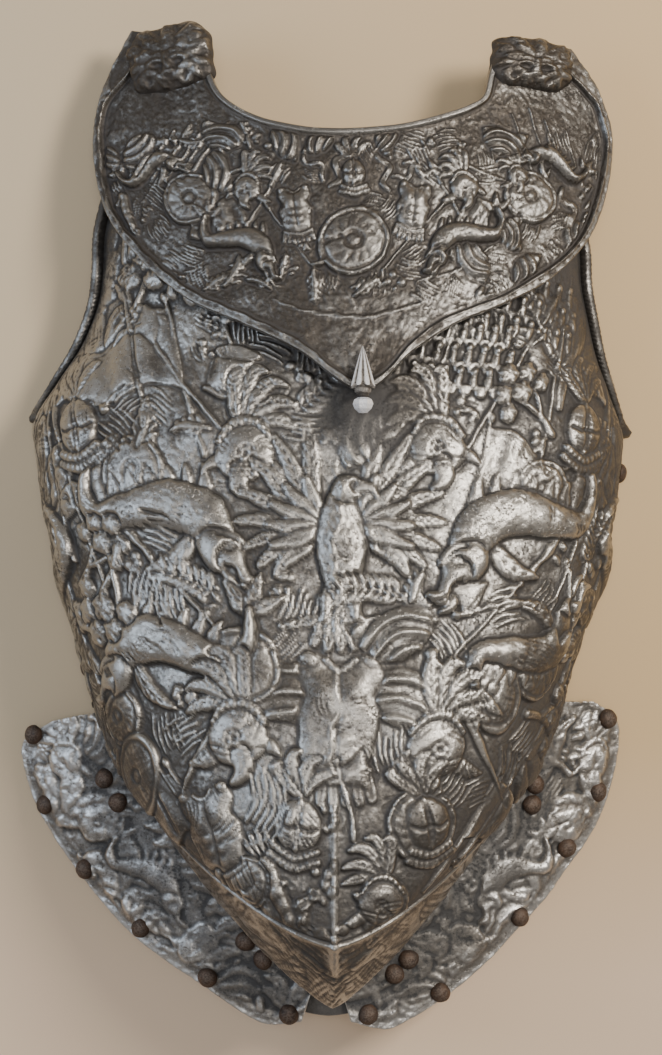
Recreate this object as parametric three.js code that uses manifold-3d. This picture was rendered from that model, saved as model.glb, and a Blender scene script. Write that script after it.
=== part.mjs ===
// Cuirass front: a cast aluminium breastplate in the old peascod form, a crescent gorget plate over
// its top with a lion mask on each shoulder, a stud at the gorget's tip, and two fauld plates that
// flare out under the waist, all held by rusty steel rivets.
// Millimetres. It lies on its back: +Z out of the breast, +Y towards the neck, +X to the viewer's
// right. The flank hems stand on the plane z = 0.

import * as THREE from 'three';
import { mergeVertices } from 'three/addons/utils/BufferGeometryUtils.js';
import Module from 'manifold-3d';

const wasm = await Module();
wasm.setup();

// ---------- driving dimensions ----------
const WALL = 4.4; // cast wall of the breastplate
const PLATE = 4; // cast thickness of the gorget and the faulds
const SEAT_GAP = 0.6; // between the waist flange and a fauld lying on it
const FIT = 0.3; // clearance of a rivet in its hole and under its head
const CURVE_ROOM = 0.8; // more room for a flat rivet head on the curved flank
const BREAST_HALF_COLUMNS = 12; // mesh columns on each side of the medial ridge
const CROWN_POWER = 0.85; // below 1 the sections stand fuller over their shoulders
const ARM_FLANGE = { thick: 4, rise: 9, flare: 4, foot: 2.4, end: 6, steps: 11, nub: 4.6 };
const SKIRT = { rise: 64, fall: 58, halfWidth: 205, power: 1.7 };
const GORGET = { tipZ: 118, tipY: 80, slope: 0.235, midX: 12, arch: 38, halfWidth: 150 };
const RIVET = { head: 6.4, dome: 4.4, shank: 2.2, tail: 3.8, tailThick: 1.5, sides: 8, holeSides: 8 };
const STUD = { x: 19, shankY: 93, tipY: 111, baseY: 84, collarY: 79, knobY: 73 };
const STUD_SIZE = { dart: 7.4, flat: 0.7, collar: 4, knob: 6.3, shank: 2.5, rimRise: 3.4 };

// ---------- materials ----------
const castSilver = new THREE.MeshStandardMaterial({ color: '#8d867c', roughness: 0.38, metalness: 1 });
const castDark = new THREE.MeshStandardMaterial({ color: '#6b635b', roughness: 0.42, metalness: 1 });
const rustySteel = new THREE.MeshStandardMaterial({ color: '#5f4434', roughness: 0.8, metalness: 0.4 });

// ---------- tables ----------
function table(columns, rows) {
  return rows.map((row) => Object.fromEntries(columns.map((name, i) => [name, row[i]])));
}

// Sections of the breastplate from the neck down. Each is one arc from its left edge over the
// middle to its right edge: power 2 is an ellipse, less is a keel, and endAngle says how far round
// the arc goes. From the crease down the arcs are V shaped, because the peascod turns under there.
const SECTIONS = table(
  ['leftX', 'leftY', 'rightX', 'rightY', 'edgeZ', 'midX', 'midY', 'midZ', 'power', 'endAngle'],
  [
    [-141, 226, 157, 207, 24, 13, 212, 76, 2.0, 62], // top, under the gorget
    [-149, 191, 163, 180, 30, 12, 185, 84, 2.05, 64],
    [-150, 164, 164, 155, 33, 12, 156, 91, 2.1, 66],
    [-153, 142, 168, 132, 33, 10, 131, 97, 2.15, 69],
    [-163, 117, 173, 109, 30, 9, 108, 102, 2.2, 73],
    [-178, 94, 181, 86, 22, 8, 86, 107, 2.3, 79],
    [-194, 69, 190, 59, 6, 6, 53, 114, 2.35, 86], // lower corner of the arm openings
    [-190, 41, 186, 31, 0, 4, 16, 122, 2.4, 90],
    [-184, 8, 182, -2, 0, 3, -30, 132, 2.4, 90],
    [-175, -21, 174, -27, 0, 2, -75, 142, 2.35, 90],
    [-166, -48, 163, -47, 0, 2, -118, 150, 2.25, 90],
    [-160, -69, 157, -66, 0, 2, -158, 157, 2.1, 90],
    [-156, -86, 152, -84, 4, 2, -193, 162, 1.9, 90],
    [-154, -99, 149, -97, 10, 2, -222, 165, 1.65, 90],
    [-152, -107, 147, -105, 16, 2, -242, 164, 1.4, 90], // crease of the lower border
    [-151, -113, 146, -109, 20, 2, -268, 145, 1.28, 90],
    [-150, -116, 145, -111, 24, 1, -289, 112, 1.2, 90], // tip, the widest outline below
    [-140, -122, 135, -117, 33, -1, -270, 63, 1.15, 90], // waist, under the overhang
    [-156, -130, 150, -124, 27, -1, -306, 63, 1.7, 90], // outer edge of the waist flange
  ],
);
const WAIST_ROW = 17;
const FLANGE_ROW = 18;
// Where the mesh has a row: closer together where the form turns quickly.
const BREAST_ROWS = [
  0, 0.8, 1.6, 2.4, 3.2, 4, 4.7, 5.3, 5.8, 6.2, 6.8, 7.5, 8.2, 8.9, 9.6, 10.3, 11, 11.7,
  12.3, 12.8, 13.3, 13.7, 14, 14.4, 15, 15.5, 16, 16.5, 17, 18,
];

// The gorget's outline: its outer rim and its neck edge, station by station from the viewer's
// left shoulder over the tip to the right shoulder.
const GORGET_STATIONS = table(
  ['rimX', 'rimY', 'neckX', 'neckY'],
  [
    [-127, 318, -79, 306],
    [-145, 282, -76, 285],
    [-151, 245, -69, 271],
    [-142, 202, -57, 261],
    [-120, 170, -43, 254],
    [-89, 142, -29, 250],
    [-52, 124, -14, 247],
    [-20, 108, 0, 246],
    [19, 83, 13, 246],
    [50, 108, 27, 247],
    [76, 125, 43, 249],
    [106, 138, 59, 253],
    [138, 157, 74, 258],
    [166, 191, 86, 263],
    [179, 243, 96, 270],
    [171, 279, 100, 284],
    [153, 306, 104, 301],
  ],
);
// The gorget's profile from the neck edge out to the rim: share of the way, and height over plate.
const GORGET_PROFILE = table(
  ['share', 'rise'],
  [
    [0, 1.2],
    [0.06, 1.2],
    [0.1, 0],
    [0.5, 0],
    [0.9, 0.3],
    [0.93, 3.2],
    [1, 3.2],
  ],
);
const GORGET_COLUMNS = 32;

// Outer edges of the two fauld plates from the upper corner down to the tip.
const FAULD_LEFT_EDGE = table(
  ['x', 'y'],
  [
    [-181, -126],
    [-200, -139],
    [-201, -153],
    [-193, -178],
    [-179, -201],
    [-163, -222],
    [-144, -243],
    [-126, -260],
    [-104, -275],
    [-82, -288],
    [-58, -303],
    [-40, -311],
    [-19, -309],
  ],
);
const FAULD_RIGHT_EDGE = table(
  ['x', 'y'],
  [
    [170, -113],
    [185, -124],
    [187, -138],
    [184, -158],
    [176, -183],
    [165, -202],
    [152, -218],
    [138, -236],
    [122, -252],
    [104, -270],
    [85, -286],
    [66, -299],
    [50, -308],
    [34, -314],
    [13, -309],
  ],
);
// Inner edges of the faulds, hidden under the overhang: V shaped arcs like the sections.
const FAULD_INNER = { left: [-153, -120], right: [148, -113], midX: 0, midY: -284, power: 1.15 };
const FAULD_INNER_END = { left: -9, right: 5 };
const FAULD_COLUMNS = 18;
const FAULD_SHARES = [0, 0.35, 0.7, 1];

const FAULD_RIVETS = {
  left: {
    edge: [[-192, -135], [-184, -180], [-157, -220], [-120, -255], [-77, -284], [-26, -305]],
    inner: [[-144, -161], [-135, -176], [-53, -260], [-42, -271]],
  },
  right: {
    edge: [[178, -124], [171, -171], [150, -206], [119, -248], [68, -293], [23, -305]],
    inner: [[129, -164], [127, -177], [48, -271], [39, -280]],
  },
};
// Rivets on the flanks: section (as an index into SECTIONS) and how far across (-1 to 1).
const FLANK_RIVETS = table(
  ['name', 'section', 'across'],
  [
    ['rivet_flank_left_1', 9.1, -0.93],
    ['rivet_flank_left_2', 11.6, -0.93],
    ['rivet_flank_right_1', 6.8, 0.92],
    ['rivet_flank_right_2', 8.7, 0.93],
    ['rivet_flank_right_3', 10.7, 0.93],
  ],
);

// Raised round shields, the largest motifs of the cast trophies.
const BREAST_SHIELDS = table(
  ['section', 'across', 'radius'],
  [
    [6.6, -0.42, 21],
    [6.9, 0.45, 19],
    [9.2, -0.2, 24],
    [9.6, 0.5, 20],
    [10.6, -0.56, 19],
    [11.6, 0.22, 22],
    [12.9, -0.22, 16],
  ],
);
const GORGET_SHIELDS = table(
  ['x', 'y', 'radius'],
  [
    [-88, 205, 17],
    [14, 175, 22],
    [124, 206, 17],
  ],
);
const SHIELD = { rise: 2.6, sink: 2.6, boss: 0.3, bossRise: 2.2, sides: 10 };
const LION_MASKS = table(
  ['x', 'y', 'turn', 'size'],
  [
    [-102, 294, 0.3, 1.12],
    [128, 287, -0.3, 1.08],
  ],
);

// ---------- small mathematics ----------
function catmullRom(a, b, c, d, t) {
  const slopeIn = (c - a) / 2;
  const slopeOut = (d - b) / 2;
  const t2 = t * t;
  const t3 = t2 * t;
  return (2 * t3 - 3 * t2 + 1) * b + (t3 - 2 * t2 + t) * slopeIn
    + (3 * t2 - 2 * t3) * c + (t3 - t2) * slopeOut;
}

// A row of a table at a fractional index: every named column runs smoothly through its rows.
function rowAt(rows, index, straightFrom = Infinity) {
  const last = rows.length - 1;
  const i = Math.min(Math.floor(index), last - 1);
  const t = index - i;
  const [b, c] = [rows[i], rows[i + 1]];
  const straight = i >= straightFrom;
  const a = rows[Math.max(i - 1, 0)];
  const d = rows[Math.min(i + 2, last)];
  const result = {};
  for (const name of Object.keys(b)) {
    result[name] = straight
      ? b[name] + (c[name] - b[name]) * t
      : catmullRom(a[name], b[name], c[name], d[name], t);
  }
  return result;
}

// Where an arc of this power stands at an angle from its middle: side 0 to 1 and crown 1 to 0.
function arcAt(share, power, endAngle) {
  const polar = (angle) => {
    const reach = (Math.cos(angle) ** power + Math.sin(angle) ** power) ** (-1 / power);
    return { side: reach * Math.sin(angle), crown: reach * Math.cos(angle) };
  };
  const end = THREE.MathUtils.degToRad(Math.min(endAngle, 89.999));
  const stop = polar(end);
  const here = polar(end * share);
  return { side: here.side / stop.side, crown: (here.crown - stop.crown) / (1 - stop.crown) };
}

function skirtZ(x) {
  return SKIRT.rise - SKIRT.fall * (Math.abs(x) / SKIRT.halfWidth) ** SKIRT.power;
}

function gorgetZ(x, y) {
  return GORGET.tipZ - GORGET.slope * (y - GORGET.tipY)
    - GORGET.arch * ((x - GORGET.midX) / GORGET.halfWidth) ** 2;
}

// ---------- meshes and solids ----------
function geometryFrom(positions, indices) {
  const geometry = new THREE.BufferGeometry();
  geometry.setAttribute('position', new THREE.Float32BufferAttribute(positions, 3));
  geometry.setIndex(indices);
  return geometry;
}

// A closed shell between two grids of points that face each other, with walls round its border.
function shellBetween(front, back) {
  const rows = front.length;
  const columns = front[0].length;
  const positions = [...front.flat(), ...back.flat()].flatMap((p) => [p.x, p.y, p.z]);
  const offset = rows * columns;
  const at = (side, i, j) => side * offset + i * columns + j;
  const indices = [];
  const quad = (a, b, c, d) => indices.push(a, b, c, a, c, d);
  for (let i = 0; i < rows - 1; i += 1) {
    for (let j = 0; j < columns - 1; j += 1) {
      quad(at(0, i, j), at(0, i + 1, j), at(0, i + 1, j + 1), at(0, i, j + 1));
      quad(at(1, i, j), at(1, i, j + 1), at(1, i + 1, j + 1), at(1, i + 1, j));
    }
  }
  for (let i = 0; i < rows - 1; i += 1) {
    quad(at(0, i, 0), at(1, i, 0), at(1, i + 1, 0), at(0, i + 1, 0));
    const j = columns - 1;
    quad(at(0, i, j), at(0, i + 1, j), at(1, i + 1, j), at(1, i, j));
  }
  for (let j = 0; j < columns - 1; j += 1) {
    quad(at(0, 0, j), at(0, 0, j + 1), at(1, 0, j + 1), at(1, 0, j));
    const i = rows - 1;
    quad(at(0, i, j), at(1, i, j), at(1, i, j + 1), at(0, i, j + 1));
  }
  return geometryFrom(positions, indices);
}

function solidOf(geometry, matrix = new THREE.Matrix4()) {
  const plain = geometry.clone().applyMatrix4(matrix);
  plain.deleteAttribute('normal');
  plain.deleteAttribute('uv');
  const merged = mergeVertices(plain, 1e-4);
  const mesh = new wasm.Mesh({
    numProp: 3,
    vertProperties: Float32Array.from(merged.attributes.position.array),
    triVerts: Uint32Array.from(merged.index.array),
  });
  const solid = new wasm.Manifold(mesh);
  return solid;
}

function geometryOf(solid) {
  const mesh = solid.getMesh();
  return geometryFrom(Array.from(mesh.vertProperties), Array.from(mesh.triVerts));
}

function frameAt(point, normal) {
  const turn = new THREE.Quaternion().setFromUnitVectors(new THREE.Vector3(0, 0, 1), normal);
  return new THREE.Matrix4().compose(point, turn, new THREE.Vector3(1, 1, 1));
}

// A turned body about +Z from [radius, height] pairs that start and end on the axis.
function turned(profile, sides) {
  const points = profile.map(([radius, height]) => new THREE.Vector2(radius, height));
  const geometry = new THREE.LatheGeometry(points, sides);
  geometry.rotateX(Math.PI / 2);
  return geometry;
}

// ---------- breastplate ----------
// A point of one row's arc. Between two rows an edge may not dip under the plane of the hems.
function sectionPoint(row, across) {
  const { side, crown } = arcAt(Math.abs(across), row.power, row.endAngle);
  const [sideX, sideY] = across < 0 ? [row.leftX, row.leftY] : [row.rightX, row.rightY];
  const edgeZ = Math.max(row.edgeZ, 0);
  return new THREE.Vector3(
    row.midX + (sideX - row.midX) * side,
    sideY + (row.midY - sideY) * crown,
    edgeZ + (row.midZ - edgeZ) * crown ** CROWN_POWER,
  );
}

function breastRow(index) {
  return rowAt(SECTIONS, index, WAIST_ROW - 1);
}

// A point of the breastplate's outer face. From the waist on, it follows the skirt's curve.
function breastPoint(index, across) {
  const point = sectionPoint(breastRow(index), across);
  if (index >= WAIST_ROW) {
    point.z = skirtZ(point.x) - SEAT_GAP;
  }
  return point;
}

function breastNormal(index, across) {
  const step = 0.01;
  const along = breastPoint(index + step, across).sub(breastPoint(index - step, across));
  const over = breastPoint(index, across + step).sub(breastPoint(index, across - step));
  return along.cross(over).normalize();
}

// The matching point of the inner face: a section drawn in by the wall on every side.
function breastInnerPoint(index, across) {
  const row = breastRow(index);
  if (index >= WAIST_ROW) {
    const onFlange = (index - WAIST_ROW) / (FLANGE_ROW - WAIST_ROW);
    const drawnIn = WALL * (1 - onFlange);
    row.leftX += drawnIn;
    row.rightX -= drawnIn;
    row.midY += drawnIn;
    const point = sectionPoint(row, across);
    point.z = skirtZ(point.x) - SEAT_GAP - WALL;
    return point;
  }
  const before = breastRow(Math.max(index - 0.25, 0));
  const after = breastRow(index + 0.25);
  const along = new THREE.Vector2(after.midY - before.midY, after.midZ - before.midZ).normalize();
  row.leftX += WALL;
  row.rightX -= WALL;
  row.midY += along.y * WALL;
  row.midZ -= -along.x * WALL;
  return sectionPoint(row, across);
}

function acrossSteps() {
  const steps = [];
  for (let j = -BREAST_HALF_COLUMNS; j <= BREAST_HALF_COLUMNS; j += 1) {
    steps.push(j / BREAST_HALF_COLUMNS);
  }
  return steps;
}

// The raised flange along one arm opening: a flared strip on the plate's edge, with a rounded nub
// at its lower end.
function armFlange(hand) {
  const { thick, rise, flare, foot, end, steps, nub } = ARM_FLANGE;
  const front = [];
  const back = [];
  for (let i = 0; i <= steps; i += 1) {
    const edge = breastPoint((i / steps) * end, hand);
    const strip = (out, up) => edge.clone().add(new THREE.Vector3(hand * out, 0, up));
    const inner = [strip(-thick, -foot), strip(flare - thick, rise)];
    const outer = [strip(0, -foot), strip(flare, rise)];
    front.push(hand > 0 ? inner : outer);
    back.push(hand > 0 ? outer : inner);
  }
  const knob = new THREE.IcosahedronGeometry(nub, 0);
  const corner = breastPoint(end, hand).add(new THREE.Vector3(hand * (flare - thick), 0, rise / 2));
  knob.translate(corner.x, corner.y, corner.z);
  return solidOf(shellBetween(front, back)).add(solidOf(knob));
}

// A round shield with a boss, sunk a little into the plate under it.
function shield(radius, point, normal) {
  const { rise, sink, boss, bossRise, sides } = SHIELD;
  const profile = [
    [0, -sink],
    [radius, -sink],
    [radius, rise * 0.5],
    [radius * 0.86, rise],
    [radius * boss, rise],
    [0, rise + bossRise],
  ];
  return solidOf(turned(profile, sides), frameAt(point, normal));
}

function breastplate() {
  const steps = acrossSteps();
  const outer = BREAST_ROWS.map((index) => steps.map((across) => breastPoint(index, across)));
  const inner = BREAST_ROWS.map((index) => steps.map((across) => breastInnerPoint(index, across)));
  let solid = solidOf(shellBetween(outer, inner));
  for (const hand of [-1, 1]) {
    solid = solid.add(armFlange(hand));
  }
  for (const { section, across, radius } of BREAST_SHIELDS) {
    const point = breastPoint(section, across);
    solid = solid.add(shield(radius, point, breastNormal(section, across)));
  }
  return solid;
}

// ---------- gorget ----------
function gorgetNormal(x, y) {
  const slopeX = (-2 * GORGET.arch * (x - GORGET.midX)) / GORGET.halfWidth ** 2;
  return new THREE.Vector3(-slopeX, GORGET.slope, 1).normalize();
}

function gorgetPoint(x, y, height) {
  return new THREE.Vector3(x, y, gorgetZ(x, y) + height);
}

// A lion mask cast on one shoulder: cranium, brow, cheeks, muzzle and a ruff of mane locks.
function lionMask(x, y, turn, size) {
  const lumps = table(
    ['x', 'y', 'z', 'wide', 'tall', 'deep'],
    [
      [0, 0, 2, 22, 23, 11],
      [-8, 6, 10, 7, 5, 5],
      [8, 6, 10, 7, 5, 5],
      [0, -7, 9, 8, 10, 8],
      [-18, 4, 3, 7, 13, 6],
      [18, 4, 3, 7, 13, 6],
    ],
  );
  const frame = frameAt(gorgetPoint(x, y, PLATE / 2), gorgetNormal(x, y));
  frame.multiply(new THREE.Matrix4().makeRotationZ(turn));
  frame.multiply(new THREE.Matrix4().makeScale(size, size, size));
  let mask = null;
  for (const lump of lumps) {
    const ball = new THREE.SphereGeometry(1, 7, 5);
    ball.scale(lump.wide, lump.tall, lump.deep);
    ball.translate(lump.x, lump.y, lump.z);
    const solid = solidOf(ball, frame);
    mask = mask ? mask.add(solid) : solid;
  }
  return mask;
}

function gorget() {
  const front = [];
  const back = [];
  const last = GORGET_STATIONS.length - 1;
  for (let i = 0; i <= GORGET_COLUMNS; i += 1) {
    const station = rowAt(GORGET_STATIONS, (i / GORGET_COLUMNS) * last);
    const along = GORGET_PROFILE.map(({ share, rise }) => {
      const x = station.neckX + (station.rimX - station.neckX) * share;
      const y = station.neckY + (station.rimY - station.neckY) * share;
      return [gorgetPoint(x, y, PLATE + rise), gorgetPoint(x, y, 0)];
    });
    front.push(along.map(([top]) => top));
    back.push(along.map(([, under]) => under));
  }
  let solid = solidOf(shellBetween(back, front));
  for (const { x, y, radius } of GORGET_SHIELDS) {
    solid = solid.add(shield(radius, gorgetPoint(x, y, PLATE), gorgetNormal(x, y)));
  }
  for (const { x, y, turn, size } of LION_MASKS) {
    solid = solid.add(lionMask(x, y, turn, size));
  }
  return solid;
}

// ---------- stud at the gorget's tip ----------
function gorgetStud() {
  const { x, tipY, baseY, collarY, knobY, shankY } = STUD;
  const { dart, flat, collar, knob, shank, rimRise } = STUD_SIZE;
  const seat = PLATE + rimRise + FIT;
  const axis = dart * flat + seat;
  const flutes = 6;
  const outline = new THREE.Shape();
  for (let i = 0; i < flutes * 2; i += 1) {
    const angle = (i / (flutes * 2)) * 2 * Math.PI;
    const radius = i % 2 === 0 ? dart : dart * 0.72;
    outline[i === 0 ? 'moveTo' : 'lineTo'](radius * Math.cos(angle), radius * Math.sin(angle) * flat);
  }
  const length = tipY - baseY;
  const bar = new THREE.ExtrudeGeometry(outline, { depth: length, bevelEnabled: false, steps: 3 });
  const shape = bar.attributes.position;
  for (let i = 0; i < shape.count; i += 1) {
    const share = shape.getZ(i) / length;
    const narrow = share < 0.9 ? 1 - 0.72 * share ** 1.3 : 0.12;
    shape.setX(i, shape.getX(i) * narrow);
    shape.setY(i, (shape.getY(i) + dart * flat) * narrow - dart * flat);
  }
  bar.rotateX(-Math.PI / 2);
  const lean = new THREE.Matrix4().makeRotationX(-Math.atan(GORGET.slope));
  const base = gorgetPoint(x, baseY, axis);
  const dartFrame = new THREE.Matrix4().makeTranslation(base.x, base.y, base.z).multiply(lean);
  bar.rotateY(Math.PI);
  let solid = solidOf(bar, dartFrame);
  const neck = new THREE.CylinderGeometry(collar, collar, baseY - knobY, 10);
  const neckFrame = new THREE.Matrix4().makeTranslation(x, (baseY + knobY) / 2, base.z);
  solid = solid.add(solidOf(neck, neckFrame));
  const ring = new THREE.CylinderGeometry(collar + 1, collar + 1, 2.4, 10);
  solid = solid.add(solidOf(ring, new THREE.Matrix4().makeTranslation(x, collarY + 2, base.z)));
  const ball = new THREE.IcosahedronGeometry(knob, 1);
  solid = solid.add(solidOf(ball, new THREE.Matrix4().makeTranslation(x, knobY, base.z)));
  const pin = new THREE.CylinderGeometry(shank, shank, 30, 10).rotateX(Math.PI / 2);
  const pinTop = gorgetPoint(x, shankY, axis);
  const pinFrame = new THREE.Matrix4().makeTranslation(x, shankY, pinTop.z - 15);
  return solid.add(solidOf(pin, pinFrame));
}

function studHole() {
  const radius = STUD_SIZE.shank + FIT;
  const drill = new THREE.CylinderGeometry(radius, radius, 80, 12).rotateX(Math.PI / 2);
  return solidOf(drill, new THREE.Matrix4().makeTranslation(STUD.x, STUD.shankY, 110));
}

// ---------- faulds ----------
function fauldInnerPoint(hand, share) {
  const [sideX, sideY] = hand < 0 ? FAULD_INNER.left : FAULD_INNER.right;
  const endX = hand < 0 ? FAULD_INNER_END.left : FAULD_INNER_END.right;
  const x = sideX + (endX - sideX) * share;
  const side = (x - FAULD_INNER.midX) / (sideX - FAULD_INNER.midX);
  const crown = (1 - Math.min(side, 1) ** FAULD_INNER.power) ** (1 / FAULD_INNER.power);
  return new THREE.Vector2(x, sideY + (FAULD_INNER.midY - sideY) * crown);
}

function fauld(hand) {
  const edge = hand < 0 ? FAULD_LEFT_EDGE : FAULD_RIGHT_EDGE;
  const front = [];
  const back = [];
  for (let i = 0; i <= FAULD_COLUMNS; i += 1) {
    const share = i / FAULD_COLUMNS;
    const inner = fauldInnerPoint(hand, share);
    const outer = rowAt(edge, share * (edge.length - 1));
    const top = [];
    const under = [];
    for (const way of FAULD_SHARES) {
      const x = inner.x + (outer.x - inner.x) * way;
      const y = inner.y + (outer.y - inner.y) * way;
      top.push(new THREE.Vector3(x, y, skirtZ(x) + PLATE));
      under.push(new THREE.Vector3(x, y, skirtZ(x)));
    }
    front.push(top);
    back.push(under);
  }
  return solidOf(hand < 0 ? shellBetween(back, front) : shellBetween(front, back));
}

// ---------- rivets ----------
function skirtFrame(x, y, height) {
  const slope = (SKIRT.fall * SKIRT.power * (Math.abs(x) / SKIRT.halfWidth) ** (SKIRT.power - 1))
    / SKIRT.halfWidth;
  const normal = new THREE.Vector3(slope * Math.sign(x), 0, 1).normalize();
  const point = new THREE.Vector3(x, y, skirtZ(x)).addScaledVector(normal, height);
  return frameAt(point, normal);
}

// A domed rivet whose head stands on the plane z = 0 and whose tail grips below the given stack.
function rivet(grip) {
  const { head, dome, shank, tail, tailThick, sides } = RIVET;
  const under = -grip - 2 * FIT;
  const profile = [
    [0, under - tailThick],
    [tail, under - tailThick],
    [tail, under],
    [shank, under],
    [shank, 0],
    [head, 0],
    [head * 0.76, dome * 0.72],
    [0, dome],
  ];
  return turned(profile, sides);
}

function drillAt(frame) {
  const radius = RIVET.shank + FIT;
  const drill = new THREE.CylinderGeometry(radius, radius, 24, RIVET.holeSides).rotateX(Math.PI / 2);
  return solidOf(drill, frame);
}

function fauldRivets(hand) {
  const side = hand < 0 ? 'left' : 'right';
  const rows = FAULD_RIVETS[side];
  const rivets = [];
  for (const kind of ['edge', 'inner']) {
    const grip = kind === 'edge' ? PLATE : PLATE + SEAT_GAP + WALL;
    rows[kind].forEach(([x, y], i) => {
      const name = `rivet_fauld_${side}_${kind}_${i + 1}`;
      const frame = skirtFrame(x, y, PLATE + FIT);
      rivets.push({ name, frame, grip, throughFlange: kind === 'inner' });
    });
  }
  return rivets;
}

function flankRivets() {
  return FLANK_RIVETS.map(({ name, section, across }) => {
    const normal = breastNormal(section, across);
    const point = breastPoint(section, across).addScaledVector(normal, FIT + CURVE_ROOM);
    const grip = WALL + 2 * CURVE_ROOM;
    return { name, frame: frameAt(point, normal), grip, throughFlange: false };
  });
}

// ---------- assembly ----------
const cuirass = new THREE.Group();

function addPiece(name, geometry, material) {
  const flat = geometry.toNonIndexed();
  flat.computeVertexNormals();
  const mesh = new THREE.Mesh(flat, material);
  mesh.name = name;
  cuirass.add(mesh);
}

const rivetsByHand = { left: fauldRivets(-1), right: fauldRivets(1) };
const flankRivetList = flankRivets();

let breastSolid = breastplate().subtract(studHole());
for (const { frame } of flankRivetList) {
  breastSolid = breastSolid.subtract(drillAt(frame));
}
for (const { frame, throughFlange } of [...rivetsByHand.left, ...rivetsByHand.right]) {
  if (throughFlange) {
    breastSolid = breastSolid.subtract(drillAt(frame));
  }
}
addPiece('breastplate', geometryOf(breastSolid), castSilver);
addPiece('gorget', geometryOf(gorget().subtract(studHole())), castDark);
addPiece('gorget_stud', geometryOf(gorgetStud()), castSilver);

for (const [side, hand] of [['left', -1], ['right', 1]]) {
  let plate = fauld(hand);
  for (const { frame } of rivetsByHand[side]) {
    plate = plate.subtract(drillAt(frame));
  }
  addPiece(`fauld_${side}`, geometryOf(plate), castDark);
}
for (const { name, frame, grip } of [...rivetsByHand.left, ...rivetsByHand.right, ...flankRivetList]) {
  addPiece(name, geometryOf(solidOf(rivet(grip), frame)), rustySteel);
}

// The origin is at the middle of the bounding box, on the plane that the hems stand on.
const box = new THREE.Box3().setFromObject(cuirass);
const middle = box.getCenter(new THREE.Vector3());
cuirass.position.set(-middle.x, -middle.y, -box.min.z);

export default cuirass;
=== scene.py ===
"""A cast aluminium cuirass front with a riveted gorget plate and faulds, dressed for rendering.

Every plate is a smooth base form, worked out from short section tables, with a cast relief on it.
The relief is a height map over a flat chart of the plate, built up stroke by stroke from classical
trophies of arms, and the same map says where the dark patina lies and where the metal is worn.
Sizes are in millimetres until a mesh is made, and the frame's origin is added last.
"""

import logging
import math
from dataclasses import dataclass, field, replace
from enum import Enum
from functools import reduce
from typing import Callable, ClassVar, Self, Sequence

import bpy
import numpy as np
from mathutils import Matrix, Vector


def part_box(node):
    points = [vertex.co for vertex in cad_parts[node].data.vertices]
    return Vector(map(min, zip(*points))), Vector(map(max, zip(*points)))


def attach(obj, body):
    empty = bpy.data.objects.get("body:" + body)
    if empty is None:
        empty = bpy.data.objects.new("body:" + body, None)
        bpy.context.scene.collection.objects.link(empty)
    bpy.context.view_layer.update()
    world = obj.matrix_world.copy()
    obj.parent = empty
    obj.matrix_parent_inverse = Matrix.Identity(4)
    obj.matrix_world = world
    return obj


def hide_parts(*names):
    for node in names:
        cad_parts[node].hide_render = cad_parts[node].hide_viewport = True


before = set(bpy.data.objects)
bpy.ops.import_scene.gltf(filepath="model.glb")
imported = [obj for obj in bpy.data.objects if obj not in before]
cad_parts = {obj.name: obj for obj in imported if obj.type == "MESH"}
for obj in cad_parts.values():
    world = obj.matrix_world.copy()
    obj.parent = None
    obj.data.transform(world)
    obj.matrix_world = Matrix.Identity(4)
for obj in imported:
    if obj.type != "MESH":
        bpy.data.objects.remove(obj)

Array = np.ndarray
Material = bpy.types.Material
Object = bpy.types.Object
Socket = bpy.types.NodeSocket
Color = tuple[float, float, float]
Maps = tuple[Array, Array, Array]
log = logging.getLogger("cuirass")

MM = 0.001
WALL = 4.4
PLATE = 4.0
SEAT_GAP = 0.6
FIT = 0.3
CROWN_POWER = 0.85
SEED = 20260
LIP_ANGLES = np.radians([30.0, 60.0, 90.0])
LIP_ROWS = len(LIP_ANGLES) + 1


# ---- tables


class SectionColumn(Enum):
    """Columns of the breastplate's section table."""

    LEFT_X = 0
    LEFT_Y = 1
    RIGHT_X = 2
    RIGHT_Y = 3
    EDGE_Z = 4
    MID_X = 5
    MID_Y = 6
    MID_Z = 7
    POWER = 8
    END_ANGLE = 9


BREAST_SECTIONS = np.array(
    [
        [-141, 226, 157, 207, 24, 13, 212, 76, 2, 62],
        [-149, 191, 163, 180, 30, 12, 185, 84, 2.05, 64],
        [-150, 164, 164, 155, 33, 12, 156, 91, 2.1, 66],
        [-153, 142, 168, 132, 33, 10, 131, 97, 2.15, 69],
        [-163, 117, 173, 109, 30, 9, 108, 102, 2.2, 73],
        [-178, 94, 181, 86, 22, 8, 86, 107, 2.3, 79],
        [-194, 69, 190, 59, 6, 6, 53, 114, 2.35, 86],
        [-190, 41, 186, 31, 0, 4, 16, 122, 2.4, 90],
        [-184, 8, 182, -2, 0, 3, -30, 132, 2.4, 90],
        [-175, -21, 174, -27, 0, 2, -75, 142, 2.35, 90],
        [-166, -48, 163, -47, 0, 2, -118, 150, 2.25, 90],
        [-160, -69, 157, -66, 0, 2, -158, 157, 2.1, 90],
        [-156, -86, 152, -84, 4, 2, -193, 162, 1.9, 90],
        [-154, -99, 149, -97, 10, 2, -222, 165, 1.65, 90],
        [-152, -107, 147, -105, 16, 2, -242, 164, 1.4, 90],
        [-151, -113, 146, -109, 20, 2, -268, 145, 1.28, 90],
        [-150, -116, 145, -111, 24, 1, -289, 112, 1.2, 90],
        [-140, -122, 135, -117, 33, -1, -270, 63, 1.15, 90],
        [-156, -130, 150, -124, 27, -1, -306, 63, 1.7, 90],
    ],
    float,
)
CORNER_ROW = 6.0
CREASE_ROW = 14.0
TIP_ROW = 16.0
WAIST_ROW = 17.0
FLANGE_ROW = 18.0

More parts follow.
